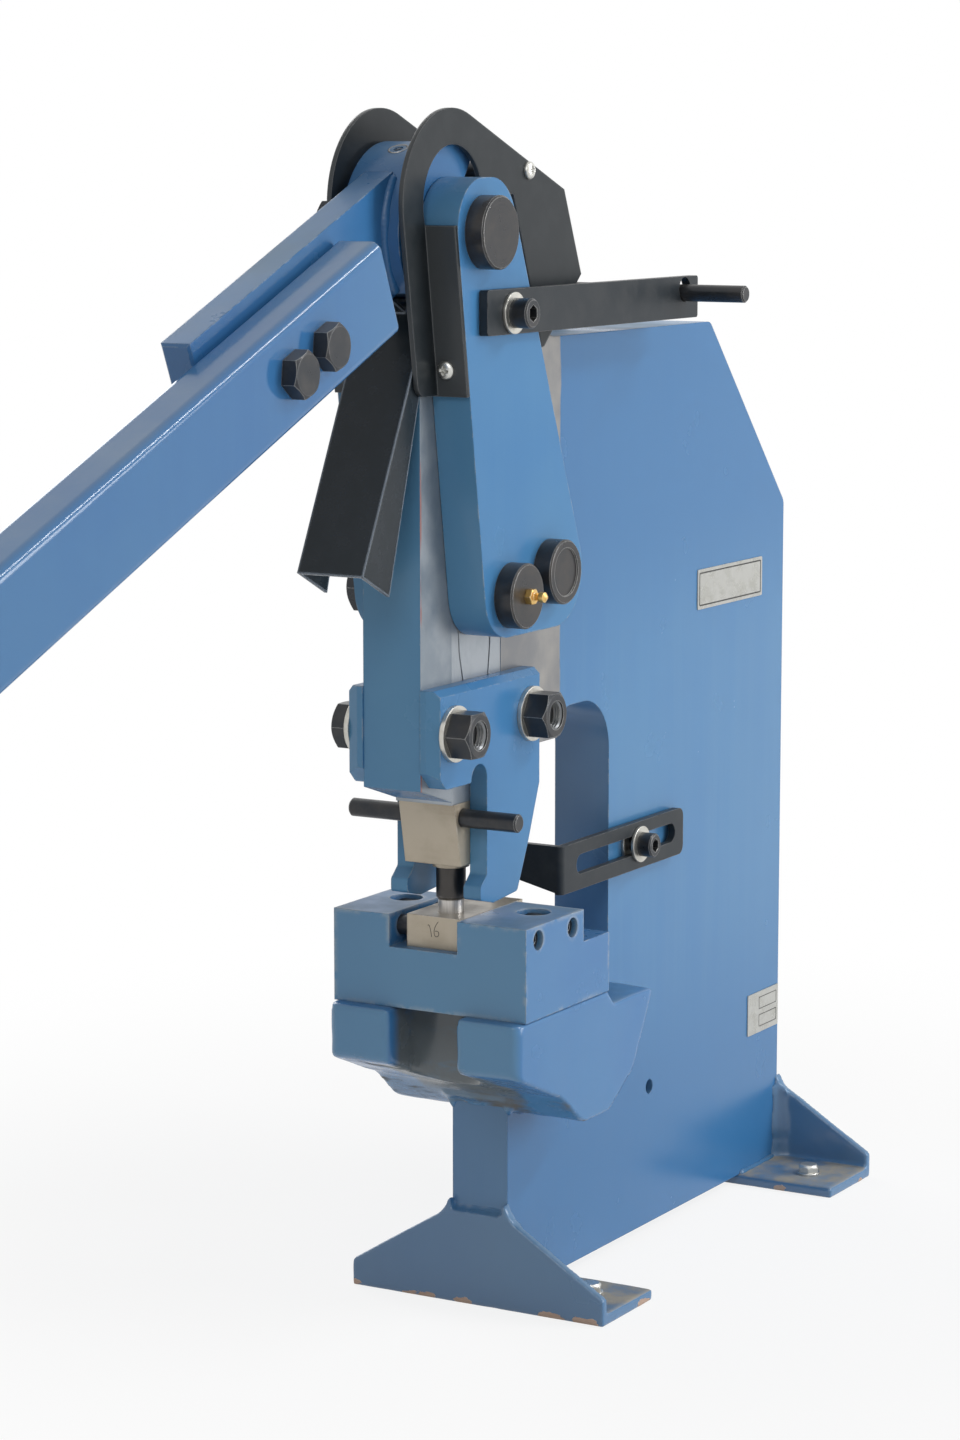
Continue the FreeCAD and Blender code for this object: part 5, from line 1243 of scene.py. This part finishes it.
def blendToWhite(tree, part, plain, kind, output):
    white = addNode(tree, kind)
    white.inputs["Color"].default_value = (1, 1, 1, 1)
    white.inputs["Strength"].default_value = 1.0
    blend = addNode(tree, "ShaderNodeMixShader")
    for value, socket in zip((part, plain.outputs[0], white.outputs[0]), blend.inputs):
        tree.links.new(value, socket)
    tree.links.new(blend.outputs[0], tree.nodes[output].inputs["Surface"])


def makeFloor():
    bm = bmesh.new()
    bmesh.ops.create_grid(bm, x_segments=2, y_segments=2, size=studio["floorSize"])
    floor = addObject("floor", finishMesh("floor", bm))
    floor.location.z = studio["floorZ"]
    material, tree, paper = startMaterial("floorPaper", 0.0, 0.1, studio["floorColour"])
    paper["Base Color"].default_value = studio["floorColour"]
    paper["Roughness"].default_value = 0.9
    # seen straight on or in a reflection the paper fades to plain white away from the object
    flat = addNode(tree, "ShaderNodeVectorMath", operation="LENGTH")
    tree.links.new(objectSpot(tree), flat.inputs[0])
    away = ramp(tree, flat.outputs["Value"], studio["whiteFrom"], studio["whiteTo"])
    glow = mixValue(tree, away, studio["floorGlow"], 1.0)
    blendToWhite(tree, times(tree, seenRays(tree), glow), tree.nodes["Principled BSDF"],
                 "ShaderNodeEmission", "Material Output")
    floor.data.materials.append(material)


def makeWorld():
    world = bpy.data.worlds.new("studioWorld")
    world.use_nodes = True
    tree = world.node_tree
    sky = tree.nodes["Background"]
    sky.inputs["Color"].default_value = (1, 1, 1, 1)
    sky.inputs["Strength"].default_value = studio["skyStrength"]
    blendToWhite(tree, seenRays(tree), sky, "ShaderNodeBackground", "World Output")
    bpy.context.scene.world = world


def makeLamps():
    for look in studio["lamps"]:
        data = bpy.data.lights.new(look["name"], "AREA")
        data.shape = "RECTANGLE"
        data.size, data.size_y = look["size"]
        data.energy = look["power"]
        lamp = addObject(look["name"], data)
        lamp.location = look["place"]
        aim = Vector(studio["aim"]) - Vector(look["place"])
        lamp.rotation_euler = aim.to_track_quat("-Z", "Y").to_euler()


makeCamera()
print("camera set")
for makeGroup in (makeEdgeWearAndHighlight, makeUpFacingBlotches, makeEnamelSkin, makeChips, makeToolMarks):
    makeGroup()
materials = makeMaterials()
print("materials:", len(materials))
dressFrame(materials)
print("frame dressed")
makeSkins(materials)
makeWelds(materials)
makeLeverWelds(materials)
print("casting and welds made")
makeLabels(materials)
makeScrews(materials)
makeNutThreads(materials)
makeOilHole(materials)
makeDieMark(materials)
makeFootScrews(materials)
print("small trim made")
makeFloor()
makeWorld()
makeLamps()
bpy.context.scene.view_settings.view_transform = "Standard"
print("studio ready")
